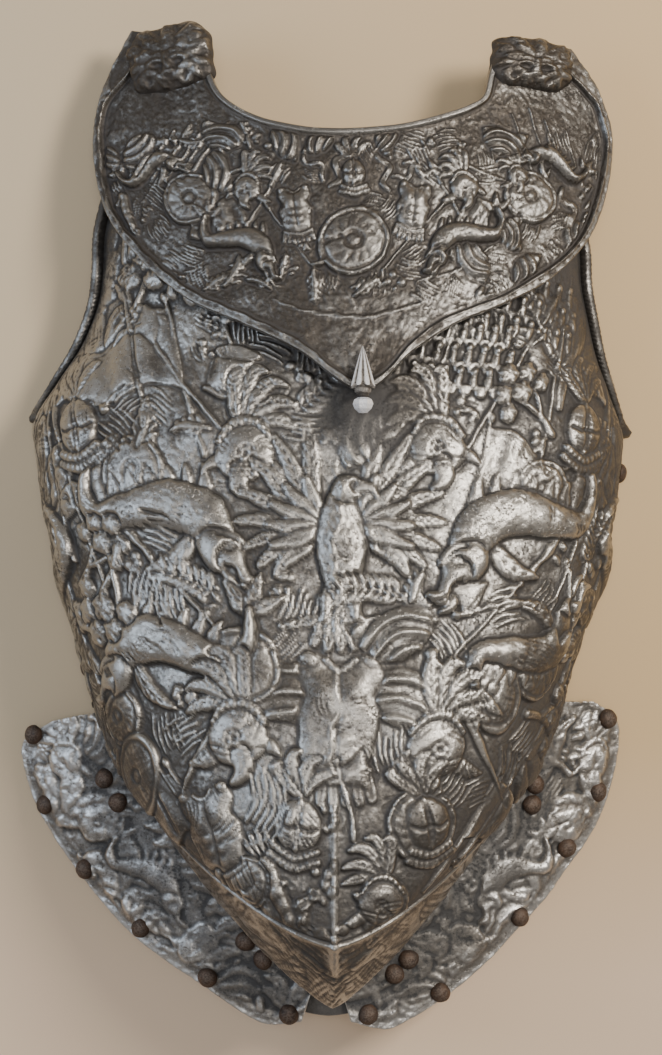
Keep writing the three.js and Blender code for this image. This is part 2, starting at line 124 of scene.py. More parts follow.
GORGET_STATIONS = np.array(
    [
        [-127, 318, -79, 306],
        [-145, 282, -76, 285],
        [-151, 245, -69, 271],
        [-142, 202, -57, 261],
        [-120, 170, -43, 254],
        [-89, 142, -29, 250],
        [-52, 124, -14, 247],
        [-20, 108, 0, 246],
        [19, 83, 13, 246],
        [50, 108, 27, 247],
        [76, 125, 43, 249],
        [106, 138, 59, 253],
        [138, 157, 74, 258],
        [166, 191, 86, 263],
        [179, 243, 96, 270],
        [171, 279, 100, 284],
        [153, 306, 104, 301],
    ],
    float,
)
GORGET_TIP_Y = 83.0
STUD_X = 19.0

FAULD_EDGES = {
    -1: np.array([
        [-181, -126], [-200, -139], [-201, -153], [-193, -178], [-179, -201], [-163, -222], [-144, -243],
        [-126, -260], [-104, -275], [-82, -288], [-58, -303], [-40, -311], [-19, -309],
    ], float),
    1: np.array([
        [170, -113], [185, -124], [187, -138], [184, -158], [176, -183], [165, -202], [152, -218],
        [138, -236], [122, -252], [104, -270], [85, -286], [66, -299], [50, -308], [34, -314], [13, -309],
    ], float),
}
FAULD_INNER_START = {-1: (-153.0, -120.0), 1: (148.0, -113.0)}
FAULD_INNER_END_X = {-1: -9.0, 1: 5.0}
FAULD_INNER_MID_Y = -284.0
FAULD_INNER_POWER = 1.15

STUD_SHADE_Y = 78.0
BREAST_SHIELDS = (
    (6.6, -0.42, 21),
    (6.9, 0.45, 19),
    (9.2, -0.2, 24),
    (9.6, 0.5, 20),
    (10.6, -0.56, 19),
    (11.6, 0.22, 22),
    (12.9, -0.22, 16),
)
GORGET_SHIELDS = ((-88.0, 205.0, 17.0), (14.0, 175.0, 22.0), (124.0, 206.0, 17.0))
LION_MASKS = (
    (-102, 298, 0.16, 1.03, 0.93, (14, -13)),
    (127.5, 294, -0.06, 1, 0.74, (-2, -16)),
)


# ---- mathematics


def catmull_rom(table: Array, index: Array, straight_from: float = math.inf) -> Array:
    """Reads a table at fractional rows, every column on a smooth curve through its rows.

    The curve between two rows is the cubic whose end slopes are half the step from the row
    before to the row after.

    Args:
        table: One row per station.
        index: Fractional row numbers.
        straight_from: Rows from this one on are joined by straight lines.

    Returns:
        One interpolated row per index.
    """
    last = len(table) - 1
    low = np.minimum(np.floor(index).astype(int), last - 1)
    t = (index - low)[:, None]
    a = table[np.maximum(low - 1, 0)]
    b = table[low]
    c = table[low + 1]
    d = table[np.minimum(low + 2, last)]
    t2 = t * t
    t3 = t2 * t
    smooth = (
        (2 * t3 - 3 * t2 + 1) * b + (t3 - 2 * t2 + t) * (c - a) / 2 + (3 * t2 - 2 * t3) * c + (t3 - t2)
        * (d - b) / 2
    )
    return np.where(low[:, None] >= straight_from, b + (c - b) * t, smooth)


def smoothstep(low: float, high: float, value: Array) -> Array:
    """A smooth rise from 0 at low to 1 at high."""
    t = np.clip((value - low) / (high - low), 0, 1)
    return t * t * (3 - 2 * t)


def bell(value: Array, width: float) -> Array:
    """A bell curve of height 1 at zero."""
    return np.exp(-((value / width) ** 2))


def unit(vectors: Array) -> Array:
    """Vectors scaled to length one."""
    length = np.linalg.norm(vectors, axis=-1, keepdims=True)
    return vectors / np.maximum(length, 1e-9)


def grid_normals(points: Array) -> Array:
    """Normals of a grid: the cross product of its steps along columns and rows.

    Args:
        points: Grid of points, rows by columns by 3.

    Returns:
        Unit normals of the same shape.
    """
    down = np.gradient(points, axis=0)
    over = np.gradient(points, axis=1)
    return unit(np.cross(down, over))


def upward(normals: Array) -> Array:
    """Normals of an open plate, turned so that they look up on the whole."""
    return normals if float(normals[..., 2].sum()) > 0 else -normals


def skirt_z(x: Array) -> Array:
    """Height of the faulds' under face: a power curve that falls away from the middle."""
    return 64 - 58 * (np.abs(x) / 205) ** 1.7


def gorget_z(x: Array, y: Array) -> Array:
    """Height of the gorget's under face: a slope along Y and an arch across X."""
    return 118 - 0.235 * (y - 80) - 38 * ((x - 12) / 150) ** 2


def smooth_curve(points: Sequence[Sequence[float]], count: int) -> Array:
    """A smooth curve through a few control points.

    Args:
        points: Control points.
        count: How many points the curve gets.

    Returns:
        The curve's points.
    """
    table = np.array(points, float)
    if len(table) == 2:
        share = np.linspace(0, 1, count)[:, None]
        return table[0] + (table[1] - table[0]) * share
    return catmull_rom(table, np.linspace(0, len(table) - 1 - 1e-9, count))


def waver(x: Array, y: Array) -> tuple[Array, Array]:
    """Moves chart places along slow waves, up to 2 mm, because hand work is never quite regular.

    Args:
        x: Chart x.
        y: Chart y.

    Returns:
        The moved x and y, each a sum of three sines.
    """
    dx = 1.1 * np.sin(0.083 * y + 0.7) + 0.7 * np.sin(0.19 * y - 0.11 * x)
    dy = 1.1 * np.sin(0.077 * x + 2.1) + 0.7 * np.sin(0.17 * x + 0.13 * y)
    dx = dx + 0.35 * np.sin(0.41 * x + 0.37 * y)
    dy = dy + 0.35 * np.sin(0.43 * x - 0.31 * y)
    return x + dx, y + dy


def box_blur(values: Array, reach: int) -> Array:
    """A running mean over both axes, done twice, which is close to a bell-shaped blur.

    Args:
        values: The map.
        reach: How many samples the mean takes on each side.

    Returns:
        The blurred map.
    """
    if reach < 1:
        return values
    result = values
    for axis in (0, 1, 0, 1):
        size = result.shape[axis]
        pad = [(0, 0), (0, 0)]
        pad[axis] = (reach + 1, reach)
        sums = np.cumsum(np.pad(result, pad, mode="edge"), axis=axis)
        high = np.take(sums, np.arange(2 * reach + 1, 2 * reach + 1 + size), axis=axis)
        low = np.take(sums, np.arange(0, size), axis=axis)
        result = (high - low) / (2 * reach + 1)
    return result


# ---- relief


Texture = Callable[[Array, Array], Array]
Pair = tuple[float, float]
Gains = tuple[Pair, Pair]


class ReliefCanvas:
    """A height map in millimetres over a flat chart, built up by laying shapes on it."""

    EDGE = 0.55
    MOAT_WIDTH = 0.72

    def __init__(self, low: Sequence[float], high: Sequence[float], step: float) -> None:
        """Makes an empty canvas.

        Args:
            low: Lowest chart coordinates.
            high: Highest chart coordinates.
            step: Distance between neighbouring samples.
        """
        self.low = np.array(low, float)
        self.step = step
        self.x = np.arange(low[0], high[0] + step, step)
        self.y = np.arange(low[1], high[1] + step, step)
        self.height = np.zeros((self.y.size, self.x.size))
        self.cover = np.zeros_like(self.height)
        self.grit = np.zeros_like(self.height)

    def window(self, low: Array, high: Array) -> tuple[slice, slice, Array, Array] | None:
        """The part of the canvas between two corners.

        Args:
            low: Lowest chart corner.
            high: Highest chart corner.

        Returns:
            Its rows, columns, x and y, or None where it is empty.
        """
        first = np.floor((low - self.low) / self.step).astype(int)
        last = np.ceil((high - self.low) / self.step).astype(int) + 1
        columns = slice(max(first[0], 0), min(last[0], self.x.size))
        rows = slice(max(first[1], 0), min(last[1], self.y.size))
        if columns.stop - columns.start < 2 or rows.stop - rows.start < 2:
            return None
        x, y = np.meshgrid(self.x[columns], self.y[rows])
        return rows, columns, x, y

    def lay(self, rows: slice, columns: slice, score: Array, top: Array, lift: float, moat: float) -> None:
        """Lays one shape over what is there, with a soft edge and a moat around it.

        Args:
            rows: Rows of the window.
            columns: Columns of the window.
            score: Signed distance from the shape's outline, negative inside.
            top: The shape's own height over its base.
            lift: Height of its base over half of what lies under it.
            moat: Depth of the groove pressed around it.
        """
        here = self.height[rows, columns]
        inside = np.clip(0.5 - score / self.EDGE, 0, 1)
        weight = inside.sum()
        if weight < 1:
            return
        base = lift + 0.5 * float((here * inside).sum() / weight)
        ring = np.exp(-np.maximum(score, 0) / self.MOAT_WIDTH) * (1 - inside)
        sunk = np.maximum(here - 0.85 * moat * ring, np.minimum(here, -0.7))
        here[:] = sunk * (1 - inside) + (base + top) * inside
        cover = self.cover[rows, columns]
        cover[:] = np.maximum(cover, inside)

    def groove(self, points: Array, width: float, depth: float) -> None:
        """Chases a line: the height is lowered by a bell across the line.

        Args:
            points: The line's points.
            width: Width of the bell.
            depth: Its depth.
        """
        reach = width * 2.5
        found = self.window(points.min(0) - reach, points.max(0) + reach)
        if found is None:
            return
        rows, columns, x, y = found
        distance, _, _, _ = stroke_field(x, y, points, np.zeros(len(points)))
        self.height[rows, columns] -= depth * bell(distance, width)

    def sample(self, values: Array, x: Array, y: Array) -> Array:
        """Reads a map between its samples, weighted by nearness.

        Args:
            values: The map.
            x: Chart x.
            y: Chart y.

        Returns:
            The values there.
        """
        column = np.clip((x - self.low[0]) / self.step, 0, self.x.size - 1.001)
        row = np.clip((y - self.low[1]) / self.step, 0, self.y.size - 1.001)
        c0 = column.astype(int)
        r0 = row.astype(int)
        fc = column - c0
        fr = row - r0
        upper = values[r0, c0] * (1 - fc) + values[r0, c0 + 1] * fc
        lower = values[r0 + 1, c0] * (1 - fc) + values[r0 + 1, c0 + 1] * fc
        return upper * (1 - fr) + lower * fr

    def roll_ground(self, rng: np.random.Generator, height: float) -> None:
        """Lays a rolling, stippled ground: blurred noise at a broad and a fine scale.

        Args:
            rng: Seeded random numbers.
            height: Scale of the rolls.
        """
        broad = box_blur(rng.normal(size=self.height.shape), round(9 / self.step))
        fine = box_blur(rng.normal(size=self.height.shape), 1)
        self.height += height * broad / broad.std() * 0.6 + 0.1 * fine / fine.std()

    def soften(self, reach_mm: float, share: float = 1.0) -> None:
        """Softens the whole map as a casting does, by a share of its blurred self."""
        soft = box_blur(self.height, max(1, round(reach_mm / self.step)))
        self.height = self.height * (1 - share) + soft * share

    def weather(self, rng: np.random.Generator, height: float) -> None:
        """Adds the lumps and pits of a rough casting: blurred noise at three scales.

        Args:
            rng: Seeded random numbers.
            height: Scale of the lumps.
        """
        for reach, share in ((1, 0.45), (2, 0.6), (5, 0.8)):
            layer = box_blur(rng.normal(size=self.height.shape), reach)
            self.grit += height * share * layer / layer.std()
        self.height += self.grit

    def engrave(self, rng: np.random.Generator, groups: int, depth: float, scale: float = 1.0) -> None:
        """Chases groups of short side-by-side curved lines into raised places, as folds and hair.

        Args:
            rng: Seeded random numbers.
            groups: How many places are tried.
            depth: Depth of a line.
            scale: Scale of the groups.
        """
        raised = -self.hollows(5)
        rows = rng.integers(0, self.y.size, groups)
        columns = rng.integers(0, self.x.size, groups)
        for row, column in zip(rows, columns):
            if raised[row, column] < 0.25:
                continue
            pen = Pen(self, self.x[column], self.y[row], rng.uniform(0, 2 * math.pi), scale)
            reach = rng.uniform(4, 8)
            bend = rng.uniform(-2.5, 2.5)
            for i in range(int(rng.integers(2, 5))):
                side = (i - 1.5) * 2.5
                length = reach * rng.uniform(0.7, 1)
                pen.chase([(-length, side), (0, side + bend), (length, side * 1.2)], 0.62, depth, 7)

    def hollows(self, reach_mm: float) -> Array:
        """How far each place lies under the mean of what is around it."""
        return box_blur(self.height, max(1, round(reach_mm / self.step))) - self.height

    def cast(self, x: Array, y: Array, reaches: Pair, hollow_and_shade: Gains, wear_and_highlight: Gains) -> Maps:
        """Reads the height, and how dark and how rubbed the metal is.

        Recess adds up a near and a far hollow, each as a share of a limit times a gain, and wear
        does so for what stands proud.

        Args:
            x: Chart x.
            y: Chart y.
            reaches: Reach of the near and of the far mean.
            hollow_and_shade: Limit and gain of the near and of the far hollow.
            wear_and_highlight: Limit and gain of what stands proud, near and far.

        Returns:
            Height, recess and wear at each place.
        """
        around = [self.hollows(reach) for reach in reaches]
        tones = []
        for sign, gains in ((1, hollow_and_shade), (-1, wear_and_highlight)):
            near, far = [np.clip(sign * a / limit, 0, 1) * gain for a, (limit, gain) in zip(around, gains)]
            tones.append(self.sample(near + far, x, y))
        return self.sample(self.height, x, y), *tones


def stroke_field(x: Array, y: Array, points: Array, radii: Array) -> tuple[Array, Array, Array, Array]:
    """Distance from a tapering line, by the nearest of its segments.

    Args:
        x: Chart x of the samples.
        y: Chart y of the samples.
        points: The line's points.
        radii: The line's half width at each point.

    Returns:
        The score (distance less half width), the share along the line, the signed distance across
        it, and the half width at the nearest point.
    """
    best = np.full(x.shape, 1e9)
    along = np.zeros(x.shape)
    across = np.zeros(x.shape)
    wide = np.ones(x.shape)
    count = len(points) - 1
    for i in range(count):
        step = points[i + 1] - points[i]
        length2 = max(float(step @ step), 1e-9)
        dx = x - points[i, 0]
        dy = y - points[i, 1]
        t = np.clip((dx * step[0] + dy * step[1]) / length2, 0, 1)
        ox = dx - t * step[0]
        oy = dy - t * step[1]
        distance = np.sqrt(ox * ox + oy * oy)
        radius = radii[i] + (radii[i + 1] - radii[i]) * t
        score = distance - radius
        near = score < best
        best = np.where(near, score, best)
        along = np.where(near, (i + t) / count, along)
        side = np.sign(dx * step[1] - dy * step[0])
        across = np.where(near, distance * side, across)
        wide = np.where(near, radius, wide)
    return best, along, across, wide


@dataclass(frozen=True)
class Pen:
    """Draws on a canvas in its own turned, scaled and mirrored coordinates.

    Attributes:
        canvas: What it draws on.
        x: Chart x of its origin.
        y: Chart y of its origin.
        angle: Turn in radians.
        size: Scale.
        hand: 1, or -1 for a mirrored drawing.
        lift: Height of each shape's base.
        strength: Scale of all heights.
    """

    canvas: ReliefCanvas
    x: float
    y: float
    angle: float = 0.0
    size: float = 1.0
    hand: float = 1.0
    lift: float = 0.5
    strength: float = 1.0

    def place(self, points: Array) -> Array:
        """Own coordinates to chart coordinates.

        Args:
            points: Points in its own coordinates.

        Returns:
            The points on the chart.
        """
        p = np.array(points, float) * self.size
        a = p[..., 0] * self.hand
        b = p[..., 1]
        c, s = math.cos(self.angle), math.sin(self.angle)
        return np.stack([self.x + a * c - b * s, self.y + a * s + b * c], -1)

    def own(self, x: Array, y: Array) -> tuple[Array, Array]:
        """Chart coordinates to own coordinates.

        Args:
            x: Chart x.
            y: Chart y.

        Returns:
            The two own coordinates.
        """
        c, s = math.cos(self.angle), math.sin(self.angle)
        dx = x - self.x
        dy = y - self.y
        a = (dx * c + dy * s) * self.hand / self.size
        b = (-dx * s + dy * c) / self.size
        return a, b

    def moved(self, a: float, b: float, turn: float = 0.0, size: float = 1.0, hand: float = 1.0) -> Self:
        """A pen at a place in this one's coordinates.

        Args:
            a: Its first coordinate.
            b: Its second coordinate.
            turn: Turn in radians.
            size: Scale.
            hand: -1 to mirror it.

        Returns:
            The pen.
        """
        x, y = self.place(np.array([a, b]))
        place = {"x": float(x), "y": float(y), "angle": self.angle + turn * self.hand}
        return replace(self, **place, size=self.size * size, hand=self.hand * hand)

    def stroke(
        self, points: Sequence[Sequence[float]], radii: Sequence[float], height: float,
        texture: Texture | None = None, flat: float = 2.0, moat: float = 0.7, lift: float | None = None,
        count: int = 14
    ) -> None:
        """Lays a tapering rounded stroke: height times (1 - (across / width) ** flat) ** 0.5.

        Args:
            points: Control points of its middle line.
            radii: Half widths, spread evenly along it.
            height: Height of its crest.
            texture: Extra height from the share along and the distance across.
            flat: Power of its cross section, 2 for round.
            moat: Depth of the groove around it.
            lift: Height of its base, or None for the pen's.
            count: Points on its smoothed middle line.
        """
        line = self.place(smooth_curve(points, count if len(points) > 2 else 3))
        share = np.linspace(0, 1, len(line))
        wide = np.interp(share, np.linspace(0, 1, len(radii)), np.array(radii, float)) * self.size
        reach = wide.max() + 4
        found = self.canvas.window(line.min(0) - reach, line.max(0) + reach)
        if found is None:
            return
        rows, columns, x, y = found
        score, along, across, radius = stroke_field(x, y, line, wide)
        inner = np.clip(np.abs(across) / np.maximum(radius, 0.1), 0, 1)
        top = height * self.strength * np.sqrt(np.maximum(1 - inner**flat, 0))
        if texture is not None:
            top = top + texture(along, across / self.size) * self.strength
        self.canvas.lay(rows, columns, score, top, self.lift if lift is None else lift, moat)

    def disc(
        self, center: Sequence[float], radius: Sequence[float], height: float,
        texture: Texture | None = None, flat: float = 2.0, moat: float = 0.8, turn: float = 0.0,
        lift: float | None = None
    ) -> None:
        """Lays a domed ellipse: height times (1 - q ** flat) ** 0.5, where q is 1 on its outline.

        Args:
            center: Its middle.
            radius: Its two half widths.
            height: Height of its crown.
            texture: Extra height from q and the polar angle.
            flat: Power of its dome, 2 for round.
            moat: Depth of the groove around it.
            turn: Its own turn in radians.
            lift: Height of its base, or None for the pen's.
        """
        middle = self.place(np.array(center, float))
        reach = max(radius) * self.size + 4
        found = self.canvas.window(middle - reach, middle + reach)
        if found is None:
            return
        rows, columns, x, y = found
        a, b = self.own(x, y)
        a = a - center[0]
        b = b - center[1]
        c, s = math.cos(turn), math.sin(turn)
        a, b = a * c + b * s, -a * s + b * c
        q = np.sqrt((a / radius[0]) ** 2 + (b / radius[1]) ** 2)
        score = (q - 1) * min(radius) * self.size
        top = height * self.strength * np.sqrt(np.maximum(1 - np.minimum(q, 1) ** flat, 0))
        if texture is not None:
            top = top + texture(q, np.arctan2(b, a)) * self.strength
        self.canvas.lay(rows, columns, score, top, self.lift if lift is None else lift, moat)

    def plate(
        self, outline: Sequence[Sequence[float]], height: float, texture: Texture | None = None,
        swell: float = 4.0, moat: float = 0.9, lift: float | None = None
    ) -> None:
        """Lays a closed outline: height times (1 - e ** (-depth / swell)) from its border inwards.

        Args:
            outline: Corners in order.
            height: Height far from the border.
            texture: Extra height from the own coordinates.
            swell: How far in the rise goes.
            moat: Depth of the groove around it.
            lift: Height of its base, or None for the pen's.
        """
        corners = self.place(np.array(outline, float))
        found = self.canvas.window(corners.min(0) - 4, corners.max(0) + 4)
        if found is None:
            return
        rows, columns, x, y = found
        distance = np.full(x.shape, 1e9)
        odd = np.zeros(x.shape, bool)
        for (x0, y0), (x1, y1) in zip(corners, np.roll(corners, -1, axis=0)):
            ex, ey = x1 - x0, y1 - y0
            t = np.clip(((x - x0) * ex + (y - y0) * ey) / max(ex * ex + ey * ey, 1e-9), 0, 1)
            distance = np.minimum(distance, np.hypot(x - x0 - t * ex, y - y0 - t * ey))
            if abs(ey) > 1e-9:
                crossing = ((y0 > y) != (y1 > y)) & (x < x0 + (y - y0) * ex / ey)
                odd ^= crossing
        score = np.where(odd, -distance, distance)
        depth = np.maximum(-score, 0) / self.size
        top = height * self.strength * (1 - np.exp(-depth / swell))
        if texture is not None:
            a, b = self.own(x, y)
            top = top + texture(a, b) * self.strength * np.minimum(depth / 1.2, 1)
        self.canvas.lay(rows, columns, score, top, self.lift if lift is None else lift, moat)

    def chase(self, points: Sequence[Sequence[float]], width: float, depth: float, count: int = 12) -> None:
        """Chases a smooth line into what is there."""
        line = self.place(smooth_curve(points, count if len(points) > 2 else 3))
        self.canvas.groove(line, width * self.size, depth * self.strength)


# ---- motifs


def rings(count: float, depth: float) -> Texture:
    """Rings across a stroke."""
    return lambda along, across: depth * np.cos(along * 2 * math.pi * count)


def twist(count: float, slant: float, depth: float) -> Texture:
    """A rope's slanting strands."""
    return lambda along, across: depth * np.cos(2 * math.pi * (along * count + across * slant))


def barbs(count: float, slant: float, depth: float) -> Texture:
    """A feather's or leaf's barbs, slanting away from a sunk midrib."""
    return lambda along, across: (
        depth * np.cos(2 * math.pi * (along * count - np.abs(across) * slant))
        - 2.2 * depth * bell(across, 0.55)
    )


def midrib(depth: float) -> Texture:
    """A sunk midrib."""
    return lambda along, across: -depth * bell(across, 0.6)


def blade_ridge(height: float) -> Texture:
    """A blade's sharp middle ridge."""
    return lambda along, across: height * np.maximum(1 - np.abs(across) / 2.4, 0)


@dataclass(frozen=True)
class TrophyPen(Pen):
    """A pen that knows classical arms and foliage, and draws each round its own origin."""

    def draw_all(self, layers: Sequence[tuple]) -> None:
        """Draws motifs one over another.

        Args:
            layers: Rows of a motif and its places, each of x, y, degrees, size and hand, and then
                the motif's own sizes.
        """
        for motif, *places in layers:
            for x, y, degrees, size, hand, *sizes in places:
                motif(self.moved(x, y, math.radians(degrees), size, hand), *sizes)

    def round_shield(self, radius: float, petals: int = 14) -> None:
        """A domed shield with a roped rim, gadroons and a boss.

        Args:
            radius: Its radius.
            petals: Number of gadroons.
        """

        def face(q: Array, theta: Array) -> Array:
            """A roped rim, swirling gadroons and a ring.

            Args:
                q: Share of the radius.
                theta: Angle round the middle.

            Returns:
                The height in mm.
            """
            rim = 1.1 * bell(q - 0.93, 0.055) - 0.7 * bell(q - 0.84, 0.035)
            band = smoothstep(0.3, 0.42, q) * (1 - smoothstep(0.74, 0.82, q))
            swirl = theta + 0.9 * q
            gadroon = 0.55 * np.abs(np.cos(swirl * petals / 2)) ** 0.6 * band
            ring = 0.5 * bell(q - 0.34, 0.04) - 0.4 * bell(q - 0.27, 0.03)
            return rim + gadroon + ring

        self.disc((0, 0), (radius, radius), 2.6, face, moat=1.2, lift=1.2)
        self.disc((0, 0), (radius * 0.2, radius * 0.2), 2.4, moat=0.5, lift=0.2)
        for i in range(12):
            angle = i * math.pi / 6
            spot = (radius * 0.93 * math.cos(angle), radius * 0.93 * math.sin(angle))
            self.disc(spot, (0.9, 0.9), 0.7, moat=0.1, lift=0.4)

    def oval_shield(self, wide: float, tall: float) -> None:
        """An oval shield with a raised border, a long rib and crossed bands.

        Args:
            wide: Its half width.
            tall: Its half height.
        """

        def face(q: Array, theta: Array) -> Array:
            """A border round crossed bands and scales.

            Args:
                q: Share of the radius.
                theta: Angle round the middle.

            Returns:
                The height in mm.
            """
            a = q * np.cos(theta) * wide
            b = q * np.sin(theta) * tall
            border = 0.9 * bell(q - 0.9, 0.06) - 0.6 * bell(q - 0.78, 0.04)
            field_area = 1 - smoothstep(0.68, 0.76, q)
            cross = bell(a * tall / wide - b, 1.6) + bell(a * tall / wide + b, 1.6)
            scales = 0.22 * np.cos(a * 1.6) * np.cos(b * 1.6)
            return border + field_area * (0.55 * cross + scales)

        self.disc((0, 0), (wide, tall), 2.8, face, moat=1.2, lift=1)
        self.disc((0, 0), (wide * 0.24, wide * 0.24), 1.8, moat=0.5, lift=0.2)

    def sword(self, length: float = 84.0) -> None:
        """A straight sword with a knobbed guard, a wired grip and a ball pommel.

        Args:
            length: Its length.
        """
        self.stroke([(0, 8), (0, length)], [2.9, 2.6, 2.2, 0.4], 1, blade_ridge(1.1), 6, 0.8)
        self.stroke([(-12, 6), (-6, 8.4), (6, 8.4), (12, 6)], [1.7, 1.4, 1.7], 1.8)
        self.disc((-12.5, 5.6), (2.3, 2.3), 2.2)
        self.disc((12.5, 5.6), (2.3, 2.3), 2.2)
        self.stroke([(0, 7), (0, -7)], [1.9, 2.3, 1.8], 1.9, twist(7, 0.3, 0.35))
        self.disc((0, -9.6), (3.4, 3.2), 2.8)

    def spear(self, length: float = 120.0) -> None:
        """A spear: a thin shaft, a collar and a ridged leaf head.

        Args:
            length: Its length.
        """
        self.stroke([(0, 0), (0, length)], [1.25, 1.15], 1.4, moat=0.8)
        self.stroke([(0, length - 2), (0, length + 5)], [2.1, 1.7], 1.8, rings(2, 0.3))
        self.stroke(
            [(0, length + 4), (0, length + 24)], [1, 4.2, 3.2, 1.8, 0.2], 1.1, blade_ridge(1.3), 5
        )

    def halberd(self, length: float = 104.0) -> None:
        """A halberd: a shaft, an axe blade, a back fluke and a top spike.

        Args:
            length: Its length.
        """
        self.stroke([(0, 0), (0, length)], [1.5, 1.4], 1.5, moat=0.8)
        top = length
        blade = [(1, top - 4), (6, top - 5), (14, top - 13), (19, top - 4), (19, top + 6)]
        self.plate(blade + [(13, top + 12), (6, top + 4), (1, top + 3)], 1.6, swell=2.5)
        self.stroke([(-1, top), (-8, top - 1), (-14, top - 6)], [2.6, 2, 0.4], 1.4)
        self.stroke([(0, top), (0, top + 24)], [2.2, 1.6, 0.3], 1.6, blade_ridge(0.8))

    def axe(self, length: float = 62.0) -> None:
        """A short battle axe with a curved blade.

        Args:
            length: Its length.
        """
        self.stroke([(0, 0), (1.5, length * 0.5), (0, length)], [1.8, 1.5, 1.6], 1.7)
        top = length - 8
        blade = [(1, top - 4), (8, top - 7), (15, top - 12), (18, top), (16, top + 12), (8, top + 7)]
        self.plate(blade + [(1, top + 5)], 1.9, swell=3)
        self.disc((0, length + 1), (2.6, 2.6), 2)

    def banner(self, length: float = 64.0, drop: float = 34.0, pole: float = 92.0) -> None:
        """A banner streaming from its pole in rolling folds.

        Args:
            length: How far the cloth streams.
            drop: Height of the cloth at the pole.
            pole: Length of the pole.
        """
        self.stroke([(0, 0), (0, pole)], [1.4, 1.3], 1.5)
        self.disc((0, pole + 2.4), (2.4, 3.4), 2.2)
        share = np.linspace(0, 1, 13)
        wave = 4.5 * np.sin(share * 7.2)
        taper = drop * (1 - 0.45 * share)
        upper = np.stack([share * length, pole - 4 + wave - 6 * share], 1)
        lower = np.stack([share * length, pole - 4 + wave - 6 * share - taper], 1)
        notch = np.array([[length * 0.86, pole - 8 + wave[-1] - taper[-1] * 0.5]])
        outline = np.concatenate([upper, notch, lower[::-1]])

        def folds(a: Array, b: Array) -> Array:
            """Rolling folds and a chased hem.

            Args:
                a: Place along the cloth.
                b: Place across it.

            Returns:
                The height in mm.
            """
            drift = a / length * 7.2
            roll = 1.25 * np.sin(drift * 1.7 + b * 0.06) + 0.45 * np.sin(drift * 3.9 - b * 0.1)
            hem = b - (pole - 4 + 4.5 * np.sin(drift) - 6 * a / length)
            return roll - 0.5 * bell(hem + 3.5, 0.6)

        self.plate(outline, 1.5, folds, swell=2.2, moat=1.1, lift=0.8)

    def plume(self, length: float = 34.0, count: int = 5) -> None:
        """Curling feathers that fan from the pen to +x.

        Args:
            length: Length of the middle feather.
            count: How many feathers.
        """
        for i in range(count):
            spread = (i / max(count - 1, 1)) * 1.5 - 0.35
            reach = length * (1 - 0.09 * abs(i - count / 2))
            c, s = math.cos(spread), math.sin(spread)
            bend = 0.34 * reach
            points = [
                (0, 0), (reach * 0.45 * c, reach * 0.45 * s + bend * 0.35),
                (reach * 0.85 * c, reach * 0.85 * s + bend * 0.2),
                (reach * c + 2, reach * s - bend * 0.35)
            ]
            self.stroke(points, [1.6, 3.6, 4.2, 3.2, 1.2], 2.1, barbs(9, 0.34, 0.3), moat=0.8)

    def helmet(self) -> None:
        """An open helmet in profile: skull, comb, peak, neck guard, cheek piece and plume."""
        self.moved(-1, 17, 0.25).plume(33, 5)
        self.stroke([(9, -4), (15, -9), (22, -12)], [5, 4.2, 1], 1.8, rings(4, 0.25))
        self.stroke([(-9, 3), (-16, 2.4), (-22, -1)], [4.4, 3.2, 0.8], 2)
        self.disc((0, 4), (14.5, 14), 4.4, moat=1.2)
        self.stroke([(-3, -4), (-5, -11), (-1, -17)], [5.4, 5, 2], 2.4, midrib(0.3))
        self.stroke([(-12, 12), (-3, 19), (8, 18), (14, 9)], [1.4, 2.5, 2.4, 1.2], 2.4, rings(9, 0.4))
        self.chase([(-13, 1), (0, -2.5), (13, -1)], 0.7, 0.9)
        self.chase([(-12, -1.5), (0, -5.2), (12, -4)], 0.6, 0.6)
        self.moved(1, 3).rosette(4.2, 6)
        self.chase([(-9, 9), (-3, 13.5), (5, 13.6)], 0.6, 0.5)

    def closed_helmet(self) -> None:
        """A closed helmet from the front: skull, visor slits, bevor and crest."""
        self.moved(0, 18, 1.2).plume(26, 4)
        self.disc((0, 3), (13, 15.5), 5, moat=1.2)
        self.stroke([(0, 18), (0, 2), (0, -12)], [1, 1.7, 1.3], 1.6, rings(9, 0.2))
        self.chase([(-10.5, 3), (-5, 1), (-1.5, 2.2)], 1, 1.9)
        self.chase([(10.5, 3), (5, 1), (1.5, 2.2)], 1, 1.9)
        for i in range(4):
            b = -3 - 2.2 * i
            self.chase([(-7.5 + i, b), (-3, b - 1)], 0.5, 0.9)
            self.chase([(7.5 - i, b), (3, b - 1)], 0.5, 0.9)
        self.stroke([(-12, -10), (0, -15), (12, -10)], [2.6, 3.4, 2.6], 2.4, rings(8, 0.3))
        self.stroke([(-14, -15), (0, -20), (14, -15)], [2.4, 3, 2.4], 1.9, rings(10, 0.25))

    def torso(self) -> None:
        """A muscled cuirass as a trophy: chest, belly, shoulder straps and hanging lappets."""
        for i in range(7):
            a = -13.5 + 4.5 * i
            drop = 13 - 0.25 * abs(i - 3) ** 2
            self.stroke([(a * 0.92, -19), (a * 1.1, -19 - drop)], [2.5, 2.6, 2.2], 1.4, midrib(0.5), 4)
        half = [(0, 22), (5, 22), (9, 26), (16, 25), (17, 16), (13.5, 9), (16.5, 2)]
        half += [(15, -8), (14, -15), (11, -20), (0, -23)]
        outline = half + [(-a, b) for a, b in reversed(half[1:-1])]

